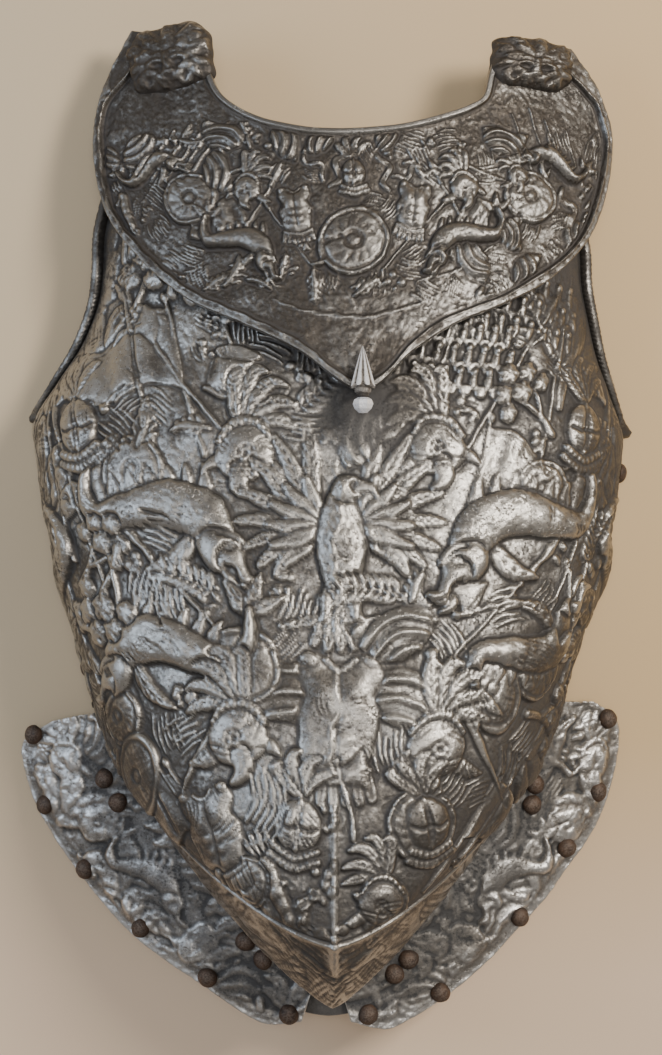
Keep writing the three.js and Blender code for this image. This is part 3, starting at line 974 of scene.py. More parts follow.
        def muscles(a: Array, b: Array) -> Array:
            """Chest, belly and the line between them.

            Args:
                a: Place across the torso.
                b: Place along it.

            Returns:
                The height in mm.
            """
            chest = 1.7 * np.exp(-(((np.abs(a) - 6.6) / 5.2) ** 2) - ((b - 9) / 6) ** 2)
            belly = 0.9 * np.exp(-(((np.abs(a) - 3.4) / 2.6) ** 2)) * (0.5 + 0.5 * np.cos((b + 8) * 0.9))
            belly = belly * smoothstep(4, 0, b) * smoothstep(-20, -15, b)
            line = -0.7 * bell(a, 0.7) * smoothstep(-19, -14, b)
            return chest + belly + line

        self.plate(outline, 3, muscles, swell=4.5, moat=1.3, lift=0.8)
        self.stroke([(-14, -19.5), (0, -23.5), (14, -19.5)], [1.6, 1.8, 1.6], 1.4, twist(12, 0.4, 0.35))
        self.stroke([(-6, 23), (0, 19), (6, 23)], [1.3, 1.5, 1.3], 1.2, twist(6, 0.4, 0.3))
        self.disc((-12.5, 23), (3.2, 3.2), 1.6)
        self.disc((12.5, 23), (3.2, 3.2), 1.6)

    def quiver(self) -> None:
        """A banded quiver with four fletched arrows."""
        for i in range(4):
            a = -4.5 + 3 * i
            self.stroke([(a * 0.6, 18), (a * 1.5, 38)], [0.8, 0.8], 1)
            self.stroke([(a * 1.3, 31), (a * 1.8, 42)], [0.8, 2.6, 1.9], 1.2, barbs(6, 0.5, 0.3))
        self.stroke([(0, -22), (0, 22)], [3.6, 5.2, 6.2], 3.2, rings(5, 0.35), moat=1.1)
        self.disc((0, -23), (3.4, 2.6), 2.6)

    def drum(self) -> None:
        """A side drum with hoops and zigzag cords."""

        def cords(a: Array, b: Array) -> Array:
            """Zigzag cords on a round side."""
            zigzag = np.abs(((a / 7 + 20.25) % 1) - 0.5) * 2
            return 0.5 * bell(b - (zigzag - 0.5) * 17, 0.9) - 0.012 * a * a

        outline = [(-14, -12), (-7, -14.5), (0, -15), (7, -14.5), (14, -12), (14, 12), (-14, 12)]
        self.plate(outline, 4.2, cords, swell=4.5, moat=1.2, lift=0.8)
        self.stroke([(-14.5, -11), (0, -14.5), (14.5, -11)], [1.7, 1.8, 1.7], 1.4)
        self.disc((0, 12), (14.6, 4.4), 1.3, lambda q, theta: 0.8 * bell(q - 0.9, 0.09), flat=6)

    def horn(self) -> None:
        """A curved war horn with bands and a flared bell."""
        points = [(-26, 10), (-14, -4), (2, -8), (16, 0), (24, 14)]
        self.stroke(points, [1.3, 2.4, 3.6, 5, 7.2], 3.2, rings(6, 0.25), moat=1.1, count=20)
        self.disc((25, 16), (8.2, 4), 1.6, lambda q, theta: 0.9 * bell(q - 0.86, 0.1), turn=-0.7)

    def acanthus(self, length: float = 46.0, curl: float = 1.0) -> None:
        """A curling acanthus leaf: lobes in pairs along a bending stem.

        Args:
            length: Length of the leaf.
            curl: How far its tip bends.
        """
        share = np.linspace(0, 1, 6)
        bend = curl * length * 0.34 * share**2
        stem = np.stack([bend, share * length * (1 - 0.12 * share * abs(curl))], 1)
        for i in range(1, 5):
            reach = length * (0.36 - 0.055 * i)
            a, b = stem[i]
            lean = 0.95 - 0.32 * curl * i / 5
            for side in (-1, 1):
                c = side * math.sin(lean)
                s = math.cos(lean)
                mid = (a + c * reach * 0.55, b + s * reach * 0.42)
                tip = (a + c * reach * 0.95, b + s * reach * 1.05)
                self.stroke([(a, b - 3), mid, tip], [1.4, 3.1, 2.6, 0.7], 1.7, midrib(0.7), moat=0.8, count=7)
        self.stroke(stem, [2, 2.6, 3.4, 3, 0.9], 2, midrib(0.8), moat=0.8)

    def dolphin(self) -> None:
        """A classical dolphin: a rolling scaled body, a browed head, a crest of fins and a tail."""
        for i in range(6):
            share = i / 5
            a = -18 + 44 * share
            b = 24 - 18 * share**1.3
            tip = (a + 9, b + 17 - 7 * share)
            line = [(a, b - 6), (a + 3, b + 7 - 3 * share), tip]
            self.stroke(line, [2.4, 4.2, 1], 2.2, midrib(0.6), count=7)
        for lean in (-0.9, 0, 0.85):
            c, s = math.sin(lean + 0.5), math.cos(lean + 0.5)
            self.stroke(
                [(49, 15), (49 + 9 * c, 15 + 9 * s), (49 + 22 * c, 15 + 22 * s)], [2.4, 5.6, 1], 2.6,
                barbs(5, 0.3, 0.35), count=8
            )
        self.stroke([(-20, 6), (-15, -9), (-4, -19)], [4.4, 5.6, 1.2], 2.8, barbs(5, 0.3, 0.35), count=8)

        def scales(along: Array, across: Array) -> Array:
            """Rows of scales."""
            return 0.32 * np.cos(along * 84 + 1.2 * np.cos(across * 1.5)) * np.abs(np.cos(across * 0.75))

        body = [(-34, 9), (-20, 18), (0, 16), (18, 3), (34, -6), (46, 3), (50, 17)]
        self.stroke(body, [9, 12.5, 12, 9.5, 6.5, 4.2, 2.4], 6.4, scales, 2, 1.5, count=26)
        self.disc((-36, 5), (13.5, 10.5), 5.8, moat=1, turn=0.3)
        self.stroke([(-42, 3), (-53, -4), (-60, -1)], [7.5, 4.8, 1.8], 4)
        self.stroke([(-45, -4), (-51, -10), (-57, -11)], [4, 3, 1.2], 2.4)
        self.chase([(-58, -5), (-50, -5.5), (-41, -1)], 0.9, 1.8)
        self.disc((-39, 8.5), (3, 2.6), 1.4, lambda q, theta: -0.9 * bell(q, 0.35), moat=1.2)
        self.stroke([(-47, 11), (-40, 14.5), (-32, 13)], [1.4, 2.4, 1.2], 2)
        for i in range(3):
            a = -26 + 2.6 * i
            self.chase([(a, 16 - i), (a + 2.2, 9), (a + 0.5, 2 + i)], 0.6, 0.8)

    def eagle(self) -> None:
        """An eagle with spread wings, standing on a branch."""
        self.stroke([(-26, -31), (-8, -28), (10, -30), (28, -27)], [2, 3, 2.8, 1.4], 2.4, rings(9, 0.3))
        for i in range(5):
            lean = (i - 2) * 0.24
            c, s = math.sin(lean), -math.cos(lean)
            line = [(3 * c, -14), (14 * c, -14 + 15 * s), (24 * c, -14 + 27 * s)]
            self.stroke(line, [2.2, 4, 2.2], 1.9, barbs(7, 0.3, 0.3))
        for side in (-1, 1):
            for i in range(8):
                angle = math.radians(82 - 17.5 * i)
                reach = 47 - 2.4 * i - 0.25 * i * i
                c, s = side * math.cos(angle), math.sin(angle)
                root = (side * (10 + 0.8 * i), 14 - 1.6 * i)
                mid = (root[0] + 0.55 * reach * c, root[1] + 0.55 * reach * s + 3)
                tip = (root[0] + reach * c, root[1] + reach * s)
                self.stroke([root, mid, tip], [2.6, 4.3, 1.8], 2, barbs(9, 0.34, 0.32), moat=0.9, count=9)
            for i in range(5):
                angle = math.radians(74 - 24 * i)
                c, s = side * math.cos(angle), math.sin(angle)
                tip = (side * 9 + 23 * c, 12 + 23 * s)
                self.stroke([(side * 8, 11), tip], [2.6, 4.4, 2], 2.8, midrib(0.5), moat=0.8)
            self.stroke([(side * 3, -12), (side * 6, -20), (side * 7, -28)], [5, 3.6, 1.8], 3, rings(5, 0.3))
        wave = lambda across: 0.4 * np.cos(across * 0.9)
        feathers = lambda along, across: np.cos(along * 46 + np.abs(across) * 0.9) * wave(across)
        self.stroke([(0, 24), (0, 4), (0, -15)], [6.5, 12, 6], 5.6, feathers, 2, 1.4)
        self.disc((3, 29), (7.4, 6.4), 4.6, moat=0.9)
        self.stroke([(8, 30), (14, 29), (16.5, 24.5)], [3.4, 2.4, 0.6], 2.4)
        self.disc((5.4, 30.6), (1.3, 1.2), 0.8, moat=0.9)

    def tree(self) -> None:
        """A leafy tree: a forked trunk under lumpy clumps of leaves."""
        self.stroke([(-1, -30), (0, -14), (-4, 4)], [4.2, 3, 2.4], 2.8, twist(3, 0.5, 0.4))
        self.stroke([(0, -12), (8, -2), (12, 8)], [2.6, 2.2, 1.6], 2.2)
        clump = lambda q, theta: 0.7 * np.cos(theta * 5 + q * 5) * q + 0.4 * np.cos(theta * 9 - q * 7) * q
        for a, b, size in ((-20, 6, 9), (20, 8, 9), (-13, 20, 10), (14, 22, 10), (0, 30, 10), (1, 12, 11)):
            self.disc((a, b), (size, size * 0.85), 3.4, clump, moat=1.3, turn=0.3)

    def ranks(self) -> None:
        """Stacked arms: rows of small targes with lances behind them."""
        for j in range(3):
            b = 22 - 15 * j
            for i in range(9):
                a = -40 + 10 * i + 4 * (j % 2)
                self.stroke([(a, b), (a + 1.5, b + 17)], [0.8, 0.6], 1.1, moat=0.5)
                self.stroke([(a - 0.5, b - 2), (a + 0.5, b + 6)], [3.4, 2.6], 2.4, moat=0.8)
                self.disc((a + 0.5, b + 7.5), (2.7, 2.9), 2.6, moat=0.7)
            for i in range(8):
                a = -35 + 10 * i + 4 * (j % 2)
                ring = lambda q, theta: 0.5 * bell(q - 0.8, 0.14)
                self.disc((a, b - 5), (4.3, 4.6), 1.8, ring, moat=0.8)

    def drape(self) -> None:
        """A swag of cloth with rolling folds."""
        outline = [(-24, 10), (-10, 15), (8, 13), (26, 16), (24, 2), (15, -10), (4, -15)]
        outline += [(-9, -12), (-20, -4)]

        def folds(a: Array, b: Array) -> Array:
            """Waves along a bent axis."""
            bend = 0.022 * a * a + b
            return 1.1 * np.cos(bend * 0.62) + 0.4 * np.cos(bend * 1.4 + a * 0.08)

        self.plate(outline, 2.2, folds, swell=3, moat=1.2)

    def hatch(self) -> None:
        """Short slanting strokes, as grass on the ground."""
        for i in range(6):
            b = -9 + 3.6 * i
            shift = 3 * math.sin(i * 2.1)
            line = [(shift - 10, b), (shift, b + 1.6), (shift + 10, b + 0.6)]
            self.stroke(line, [0.6, 1.5, 0.5], 0.9, moat=0.5)

    def spray(self) -> None:
        """A broad branch of foliage: large soft leaves that roll over one another."""
        for lean, reach, wide in (
            (1.25, 34, 8.5), (-1.1, 32, 8), (0.75, 44, 9.5), (-0.6, 42, 9), (0.1, 50, 10)
        ):
            c, s = math.sin(lean), math.cos(lean)
            droop = 0.24 * reach * (1 if lean > 0 else -1)
            points = [
                (0, 0), (0.42 * reach * c, 0.42 * reach * s + 2),
                (0.8 * reach * c + 0.3 * droop, 0.8 * reach * s),
                (reach * c + droop, reach * s - abs(droop))
            ]

            def veins(along: Array, across: Array, wide: float = wide) -> Array:
                """Lobes on both sides of a sunk midrib."""
                lobes = 0.5 * np.cos(2 * math.pi * (along * 4.5 - np.abs(across) / wide * 0.8))
                return lobes - 0.9 * bell(across, 0.9) + 0.25 * np.cos(across * 2.4)

            self.stroke(points, [2, wide * 0.8, wide, wide * 0.6, 1.2], 3.2, veins, 2.6, 1.2, count=16)
        self.stroke([(-3, -14), (-1, -6), (0, 4)], [3, 3.4, 4.2], 2.6, midrib(0.6))

    def laurel(self, length: float = 52.0, curl: float = 0.5) -> None:
        """A laurel branch with paired pointed leaves and berries.

        Args:
            length: Its length.
            curl: How far its tip bends.
        """
        share = np.linspace(0, 1, 8)
        stem = np.stack([curl * length * 0.3 * share**2, share * length], 1)
        self.stroke(stem, [1.1, 0.7], 1.2)
        for i in range(1, 8):
            a, b = stem[i]
            for side in (-1, 1):
                tip = (a + side * 8.4, b + 7.4)
                mid = (a + side * 5, b + 2.2)
                self.stroke([(a, b - 1), mid, tip], [0.5, 2.6, 0.4], 1.5, midrib(0.5), moat=0.6, count=6)
            if i % 2:
                self.disc((a + 3.2, b - 2.5), (1.4, 1.4), 1.6, moat=0.3)
        a, b = stem[-1]
        self.stroke([(a, b), (a + 1, b + 10)], [0.6, 2.6, 0.4], 1.5, midrib(0.5))

    def rosette(self, radius: float, petals: int) -> None:
        """A small flower of round petals with a bead in the middle.

        Args:
            radius: Its radius.
            petals: How many petals.
        """
        self.disc(
            (0, 0), (radius, radius), 1.2, lambda q,
            theta: 0.8 * np.abs(np.cos(theta * petals / 2)) * smoothstep(0.2, 0.5, q), moat=0.6
        )
        self.disc((0, 0), (radius * 0.3, radius * 0.3), 1.1, moat=0.4, lift=0.2)

    def ribbon(self, length: float = 60.0) -> None:
        """A fluttering ribbon with raised borders.

        Args:
            length: Its length.
        """
        share = np.linspace(0, 1, 9)
        points = np.stack([share * length, 6 * np.sin(share * 8)], 1)
        edge = lambda along, across: 0.6 * bell(np.abs(across) - 2.4, 0.5) + 0.6 * np.sin(along * 16)
        self.stroke(points, [2.4, 3.4, 3.2, 2.2], 0.8, edge, 6, 0.8, count=24)

    def lumps(self, rng: np.random.Generator) -> None:
        """A little heap of stones, as ground.

        Args:
            rng: Seeded random numbers.
        """
        for _ in range(6):
            spot = rng.uniform(-7, 7, 2)
            size = rng.uniform(2, 4.4, 2)
            self.disc(spot, size, rng.uniform(1, 2), turn=rng.uniform(0, 3), moat=0.6)


def fill_gaps(
    canvas: ReliefCanvas, allowed: Callable[[float, float], bool], rng: np.random.Generator,
    kinds: Sequence[tuple[Callable, float]], tries: int, scale: float = 0.92,
) -> None:
    """Fills empty ground with small motifs, each where little is covered yet.

    Args:
        canvas: The canvas to fill.
        allowed: Says which chart places may take a motif.
        rng: Seeded random numbers.
        kinds: The motifs and the reach of each.
        tries: How many places are tried.
        scale: Middle size of the motifs.
    """
    high = np.array([canvas.x[-1], canvas.y[-1]])
    for i in range(tries):
        motif, reach = kinds[i % len(kinds)]
        spot = rng.uniform(canvas.low, high)
        angle = float(rng.uniform(0, 2 * math.pi))
        found = canvas.window(spot - reach, spot + reach) if allowed(*spot) else None
        if found is None or canvas.cover[found[0], found[1]].mean() > 0.36:
            continue
        size = scale * float(rng.uniform(0.82, 1.2))
        hand = float(rng.choice((-1, 1)))
        pen = TrophyPen(canvas, float(spot[0]), float(spot[1]), angle, size, hand, 0.3, 0.9)
        if motif in (TrophyPen.acanthus, TrophyPen.laurel, TrophyPen.spray):
            pen = pen.moved(0, -reach * 0.7)
        curl = float(rng.uniform(-1.2, 1.2))
        sizes = {
            TrophyPen.acanthus: (34, curl), TrophyPen.laurel: (34, curl), TrophyPen.lumps: (rng,),
            TrophyPen.ribbon: (40,), TrophyPen.axe: (44,),
        }
        motif(pen, *sizes.get(motif, ()))


# Layers: rows of a motif and its places (x, y, degrees, size, hand, then the motif's own sizes).
BREAST_BACK_LAYERS = (
    (TrophyPen.spray, (-150, 90, 30, 1.2, 1), (150, 92, -30, 1.2, -1), (-206, 0, 10, 1.5, 1)),
    (TrophyPen.spray, (-214, -90, -10, 1.5, -1), (208, 6, -12, 1.5, -1), (214, -84, 8, 1.5, 1)),
    (TrophyPen.spray, (-160, -190, -30, 1.3, -1), (156, -196, 30, 1.3, 1)),
    (TrophyPen.spray, (-20, -250, 70, 1, 1), (26, -250, -70, 1, -1)),
    (TrophyPen.tree, (-132, 146, 6, 0.95, 1), (-96, 176, -8, 1, 1), (-138, 196, 4, 0.9, 1)),
    (TrophyPen.tree, (-70, 142, 10, 0.8, 1), (-218, 66, 14, 1.1, 1)),
    (TrophyPen.banner, (-78, 44, 16, 1.2, -1, 70, 44, 84), (76, -14, -16, 1.1, 1, 60, 36, 74)),
    (TrophyPen.ranks, (104, 172, -8, 0.95, 1), (62, 142, -6, 0.85, 1)),
    (TrophyPen.ranks, (116, 128, -10, 1, 1), (70, 98, -6, 0.95, 1)),
    (TrophyPen.banner, (-164, -96, 20, 1.15, -1, 60, 40, 84), (166, -110, -20, 1.15, 1, 58, 40, 84)),
    (TrophyPen.banner, (-52, -206, 38, 1.05, -1, 60, 38, 78), (60, -214, -36, 1.05, 1, 60, 38, 78)),
    (TrophyPen.spear, (-58, 50, 40, 1.15, 1, 96), (-30, 40, 24, 1.15, 1, 104), (74, 36, -34, 1.15, 1, 92)),
    (TrophyPen.spear, (40, 24, -20, 1.15, 1, 110), (-172, -20, 14, 1.15, 1, 108)),
    (TrophyPen.spear, (-138, -52, 22, 1.15, 1, 104), (166, -40, -16, 1.15, 1, 106)),
    (TrophyPen.spear, (136, -60, -24, 1.15, 1, 108), (-70, -190, 40, 1.15, 1, 104)),
    (TrophyPen.spear, (84, -196, -40, 1.15, 1, 104), (-30, -96, 46, 1.15, 1, 100)),
    (TrophyPen.spear, (44, -104, -46, 1.15, 1, 100)),
    (TrophyPen.halberd, (-104, 30, 16, 1.1, 1, 88), (122, 6, -14, 1.1, -1, 88), (-100, -180, 30, 1, 1, 84)),
    (TrophyPen.drape, (-30, -96, 12, 1.3, 1), (46, -102, -14, 1.3, 1)),
    (TrophyPen.sword, (-50, -82, 150, 1.2, 1, 80), (66, -84, -150, 1.2, 1, 80)),
    (TrophyPen.quiver, (-148, 30, 22, 1.15, 1), (160, 24, -22, 1.15, 1), (-30, -216, 24, 0.95, 1)),
    (TrophyPen.drum, (-60, 94, -12, 1.05, 1), (150, -146, 22, 1.05, 1)),
    (TrophyPen.horn, (30, 62, 20, 0.9, 1), (-158, -140, 50, 1.1, 1)),
)
BREAST_FRONT_LAYERS = (
    (TrophyPen.oval_shield, (98, -96, 22, 1.1, 1, 18, 26), (-128, -150, -18, 1.1, 1, 18, 25)),
    (TrophyPen.dolphin, (-108, -2, -24, 1.2, -1), (122, -8, 26, 1.2, 1), (-98, -84, 16, 1.15, 1)),
    (TrophyPen.dolphin, (122, -64, -152, 0.95, 1), (-196, -46, 74, 1.1, 1), (202, -40, -78, 1.1, -1)),
    (TrophyPen.torso, (4, -112, -3, 1.5, 1), (-72, -180, 16, 1.1, 1)),
    (TrophyPen.helmet, (-52, 40, 10, 1.25, 1), (64, 44, -8, 1.2, -1), (-56, -128, -8, 1.25, -1)),
    (TrophyPen.helmet, (64, -134, 8, 1.25, 1), (30, -222, -10, 0.95, -1)),
    (TrophyPen.closed_helmet, (-164, 60, 12, 1.15, 1), (164, 58, -10, 1.1, 1)),
    (TrophyPen.closed_helmet, (-20, -176, -8, 1.05, 1), (58, -176, 10, 1.05, 1)),
    (TrophyPen.eagle, (6, -16, 0, 1.35, 1)),
)
GORGET_BACK_LAYERS = (
    (TrophyPen.banner, (-42, 158, 20, 0.75, -1, 48, 28, 70), (66, 162, -22, 0.75, 1, 46, 28, 66)),
    (TrophyPen.spear, (-8, 156, 38, 0.66, 1, 78), (32, 156, -40, 0.66, 1, 78), (-60, 172, -30, 0.66, 1, 70)),
    (TrophyPen.spear, (88, 176, 28, 0.66, 1, 66), (-118, 204, -32, 0.66, 1, 66)),
    (TrophyPen.spear, (-106, 206, -36, 0.66, 1, 62), (-94, 210, -34, 0.66, 1, 56)),
    (TrophyPen.spear, (140, 200, 30, 0.66, 1, 60), (-84, 184, 30, 0.66, 1, 60), (112, 180, -30, 0.66, 1, 60)),
    (TrophyPen.sword, (-46, 226, 112, 0.55, 1, 76), (76, 228, -112, 0.55, 1, 76)),
    (TrophyPen.quiver, (-128, 196, 20, 0.55, 1), (166, 204, -20, 0.55, 1)),
)
GORGET_FRONT_LAYERS = (
    (TrophyPen.dolphin, (-58, 170, -32, 0.55, -1), (84, 174, 32, 0.55, 1)),
    (TrophyPen.dolphin, (-112, 222, 14, 0.42, -1), (140, 226, -14, 0.42, 1)),
    (TrophyPen.torso, (-22, 194, 8, 0.62, 1), (50, 196, -8, 0.62, 1)),
    (TrophyPen.helmet, (-52, 206, 6, 0.6, 1), (82, 208, -6, 0.6, -1), (116, 216, -6, 0.45, -1)),
    (TrophyPen.closed_helmet, (14, 216, 0, 0.6, 1)),
)
FAULD_LAYERS = (
    (TrophyPen.banner, (150, -200, -34, 0.62, 1, 44, 30, 74)),
    (TrophyPen.spear, (96, -262, -38, 0.8, 1, 96)),
    (TrophyPen.spray, (176, -190, 24, 0.85, 1), (130, -240, 8, 0.9, 1), (84, -284, -20, 0.8, 1)),
    (TrophyPen.drape, (112, -246, 40, 0.9, 1)),
    (TrophyPen.sword, (60, -284, -62, 0.7, 1, 80)),
    (TrophyPen.helmet, (172, -154, 14, 0.8, 1)),
    (TrophyPen.round_shield, (150, -190, 0, 1, 1, 13, 10)),
    (TrophyPen.dolphin, (120, -226, 40, 0.6, 1)),
    (TrophyPen.oval_shield, (86, -262, 40, 0.8, 1, 13, 18)),
    (TrophyPen.drape, (56, -288, 10, 0.8, 1)),
)
# Thin lances on the gorget: x, y, degrees and length.
THIN_SPEARS = (
    (-128, 222, -40, 34), (-121, 220, -38, 38), (-113, 219, -41, 40), (-103, 218, -36, 42),
    (-92, 217, -39, 34), (124, 236, 24, 26), (134, 238, 20, 28), (145, 234, 22, 26), (156, 230, 16, 24)
)


# ---- meshes


class Facing(Enum):
    """Which way a sheet's faces look."""

    UP = "up"
    DOWN = "down"
    OUT = "out"


@dataclass
class Sheet:
    """One grid of points with the values that its material reads.

    Attributes:
        points: Rows by columns by 3, in millimetres in the drawing's own origin.
        normals: Shading normals, or None to work them out.
        hollow_and_shade: 0 on open metal to 1 in deep hollows; painted shade raises it too.
        wear_and_highlight: 0 where untouched to 1 where rubbed bright; painted highlights raise it too.
        facing: Which way the faces look.
    """

    points: Array
    normals: Array | None = None
    hollow_and_shade: Array | None = None
    wear_and_highlight: Array | None = None
    facing: Facing = Facing.UP

    def turned_over(self) -> bool:
        """Compares the grid's own winding with the way it should face.

        Returns:
            Whether it looks the wrong way.
        """
        own = grid_normals(self.points)
        if self.facing is Facing.UP:
            return float(own[..., 2].sum()) < 0
        if self.facing is Facing.DOWN:
            return float(own[..., 2].sum()) > 0
        return float((own * (self.points - self.points.mean((0, 1)))).sum()) < 0


class FlatSheet(Sheet):
    """One flat facet, already wound the right way for its normals."""

    def turned_over(self) -> bool:
        """Compares its winding with its given normals.

        Returns:
            Whether it is against them.
        """
        p = self.points
        own = np.cross(p[1, 0] - p[0, 0], p[0, 1] - p[0, 0])
        if float(np.linalg.norm(own)) < 1e-9:
            own = np.cross(p[1, 1] - p[1, 0], p[0, 1] - p[1, 0])
        return float(own @ self.normals[0, 0]) < 0


def origin_shift() -> Array:
    """Finds the drawing's origin in the frame from two CAD nodes.

    Returns:
        Its place in millimetres.
    """
    stud_low, stud_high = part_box("gorget_stud")
    gorget_low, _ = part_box("gorget")
    x = (stud_low.x + stud_high.x) / 2 / MM - STUD_X
    y = gorget_low.y / MM - GORGET_TIP_Y
    return np.array([x, y, 0])


SHIFT = origin_shift()


def plain_back(x: Array, y: Array, z: Array) -> Sheet:
    """The plain under face of a plate, evenly dark."""
    return Sheet(np.stack([x, y, z], -1), None, np.full(x.shape, 0.5), None, Facing.DOWN)


def build_object(name: str, sheets: Sequence[Sheet], material: Material) -> Object:
    """Joins sheets into one mesh object with smooth shading and its attributes.

    Args:
        name: Name of the object.
        sheets: Its grids.
        material: Its material.

    Returns:
        The object, linked to the scene.
    """
    vertices, normals, faces, hollow_and_shade, wear_and_highlight = [], [], [], [], []
    start = 0
    for sheet in sheets:
        rows, columns = sheet.points.shape[:2]
        index = np.arange(rows * columns).reshape(rows, columns) + start
        quad = np.stack([index[:-1, :-1], index[1:, :-1], index[1:, 1:], index[:-1, 1:]], -1)
        quad = quad.reshape(-1, 4)
        turned = sheet.turned_over()
        own = grid_normals(sheet.points)
        normal = sheet.normals if sheet.normals is not None else (-own if turned else own)
        if turned:
            quad = quad[:, ::-1]
        vertices.append(sheet.points.reshape(-1, 3))
        normals.append(normal.reshape(-1, 3))
        faces.append(quad)
        blank = np.zeros((rows, columns))
        hollow_and_shade.append((sheet.hollow_and_shade if sheet.hollow_and_shade is not None else blank).ravel())
        wear_and_highlight.append((sheet.wear_and_highlight if sheet.wear_and_highlight is not None else blank).ravel())
        start += rows * columns
    points = (np.concatenate(vertices) + SHIFT) * MM
    points[:, 2] = np.maximum(points[:, 2], 0)
    quads = np.concatenate(faces)
    mesh = bpy.data.meshes.new(name)
    mesh.vertices.add(len(points))
    mesh.vertices.foreach_set("co", points.astype(np.float32).ravel())
    mesh.loops.add(quads.size)
    mesh.loops.foreach_set("vertex_index", quads.astype(np.int32).ravel())
    mesh.polygons.add(len(quads))
    mesh.polygons.foreach_set("loop_start", np.arange(0, quads.size, 4, dtype=np.int32))
    mesh.update(calc_edges=True)
    mesh.validate()
    mesh.polygons.foreach_set("use_smooth", np.ones(len(mesh.polygons), bool))
    for label, values in (("hollow_and_shade", hollow_and_shade), ("wear_and_highlight", wear_and_highlight)):
        layer = mesh.attributes.new(label, "FLOAT", "POINT")
        layer.data.foreach_set("value", np.concatenate(values).astype(np.float32))
    mesh.normals_split_custom_set_from_vertices(unit(np.concatenate(normals)).tolist())
    mesh.materials.append(material)
    piece = bpy.data.objects.new(name, mesh)
    bpy.context.scene.collection.objects.link(piece)
    return piece


def round_border(points: Array, normals: Array, radius: float, depth: float) -> Array:
    """Adds a rounded lip and a drop along the four borders of a grid.

    The lip is a quarter circle: out by radius times sine, and down by radius times one less cosine.

    Args:
        points: The grid.
        normals: Its normals.
        radius: Radius of the lip.
        depth: How far down the drop goes.

    Returns:
        The grid with LIP_ROWS more rows or columns on each side.
    """
    for axis, first in ((0, True), (0, False), (1, True), (1, False)):
        grid = points.swapaxes(0, axis)
        up = normals.swapaxes(0, axis)
        edge, inner, lift = (grid[0], grid[1], up[0]) if first else (grid[-1], grid[-2], up[-1])
        out = unit(edge - inner)
        lip = [edge + out * radius * math.sin(a) - lift * radius * (1 - math.cos(a)) for a in LIP_ANGLES]
        lip.append(edge + out * radius - lift * depth)
        rows = np.stack(lip[::-1] if first else lip)
        extra = np.repeat(up[:1] if first else up[-1:], LIP_ROWS, axis=0)
        points = np.concatenate([rows, grid] if first else [grid, rows]).swapaxes(0, axis)
        normals = np.concatenate([extra, up] if first else [up, extra]).swapaxes(0, axis)
    return points


# ---- finishes


@dataclass(frozen=True)
class CastFinish:
    """An antiqued cast metal: bright worn highs, a grey middle and blackened hollows.

    Attributes:
        name: Name of the material.
        bright: Colour of rubbed metal.
        middle: Colour of open metal.
        dark: Colour in hollows.
        grime: How far the dark patina spreads out of the hollows.
        rough: Roughness of rubbed metal and of the hollows.
        pits: Strength of the casting pits.
        metal: Share of the open metal that mirrors.
    """

    name: str
    bright: Color
    middle: Color
    dark: Color
    grime: float
    rough: tuple[float, float]
    pits: float
    metal: float = 1.0

    def build(self) -> Material:
        """Makes the node material.

        Returns:
            The material.
        """
        maker = NodeMaker(self.name)
        hollow_and_shade = maker.attribute("hollow_and_shade")
        wear_and_highlight = maker.attribute("wear_and_highlight")
        broad = maker.noise(14, 4, 0.55)
        mottle = maker.noise(90, 6, 0.6)
        grain = maker.noise(700, 4, 0.65)
        fine = maker.noise(2400, 2, 0.5)
        cells = maker.noise(620, 3, 0.6)
        crumple = maker.noise(260, 3, 0.55)
        worn_patch = maker.remap(mottle, 0.4, 0.66, 0, 0.12)
        holes = maker.remap(maker.math("ADD", cells, worn_patch), 0.64, 0.76, 0, 1)
        patches = maker.remap(mottle, 0.3, 0.7, -0.2, 0.2)
        clouds = maker.remap(broad, 0.33, 0.67, -0.24, 0.22 + self.grime)
        specks = maker.remap(grain, 0.3, 0.7, -0.13, 0.13)
        pitted = maker.scale(holes, 0.32 * self.pits)
        # Darkness from hollows, patina patches, clouds and specks, plus the painted shade carried in the
        # attribute, less the rubbed and painted-highlight brightness.
        stain_and_shade = maker.total(hollow_and_shade, patches, clouds, specks, maker.scale(wear_and_highlight, -0.75), pitted)
        low = maker.remap(stain_and_shade, -0.08, 0.34, 0, 1)
        deep = maker.remap(stain_and_shade, 0.34, 0.86, 0, 1)
        base = maker.mix(low, self.bright, self.middle)
        tint = maker.remap(broad, 0.35, 0.65, 0, 1)
        warm = tuple(value * gain for value, gain in zip(self.middle, (1.12, 1, 0.84)))
        base = maker.mix(maker.scale(maker.math("MULTIPLY", tint, low), 0.5), base, warm)
        color = maker.mix(deep, base, self.dark)
        maker.link(color, maker.inputs["Base Color"])
        maker.link(maker.remap(deep, 0, 1, self.metal, 0.12), maker.inputs["Metallic"])
        rough = maker.remap(stain_and_shade, 0, 0.8, self.rough[0], self.rough[1])
        rough = maker.math("ADD", rough, maker.remap(grain, 0.3, 0.7, -0.07, 0.09))
        maker.link(rough, maker.inputs["Roughness"])
        shares = ((grain, 0.6), (fine, 0.2), (mottle, 0.6), (crumple, 0.4), (holes, -1.5 * self.pits))
        bumps = maker.total(*(maker.scale(value, gain) for value, gain in shares))
        maker.link(maker.bump(bumps, 0.55, 0.0006), maker.inputs["Normal"])
        return maker.material


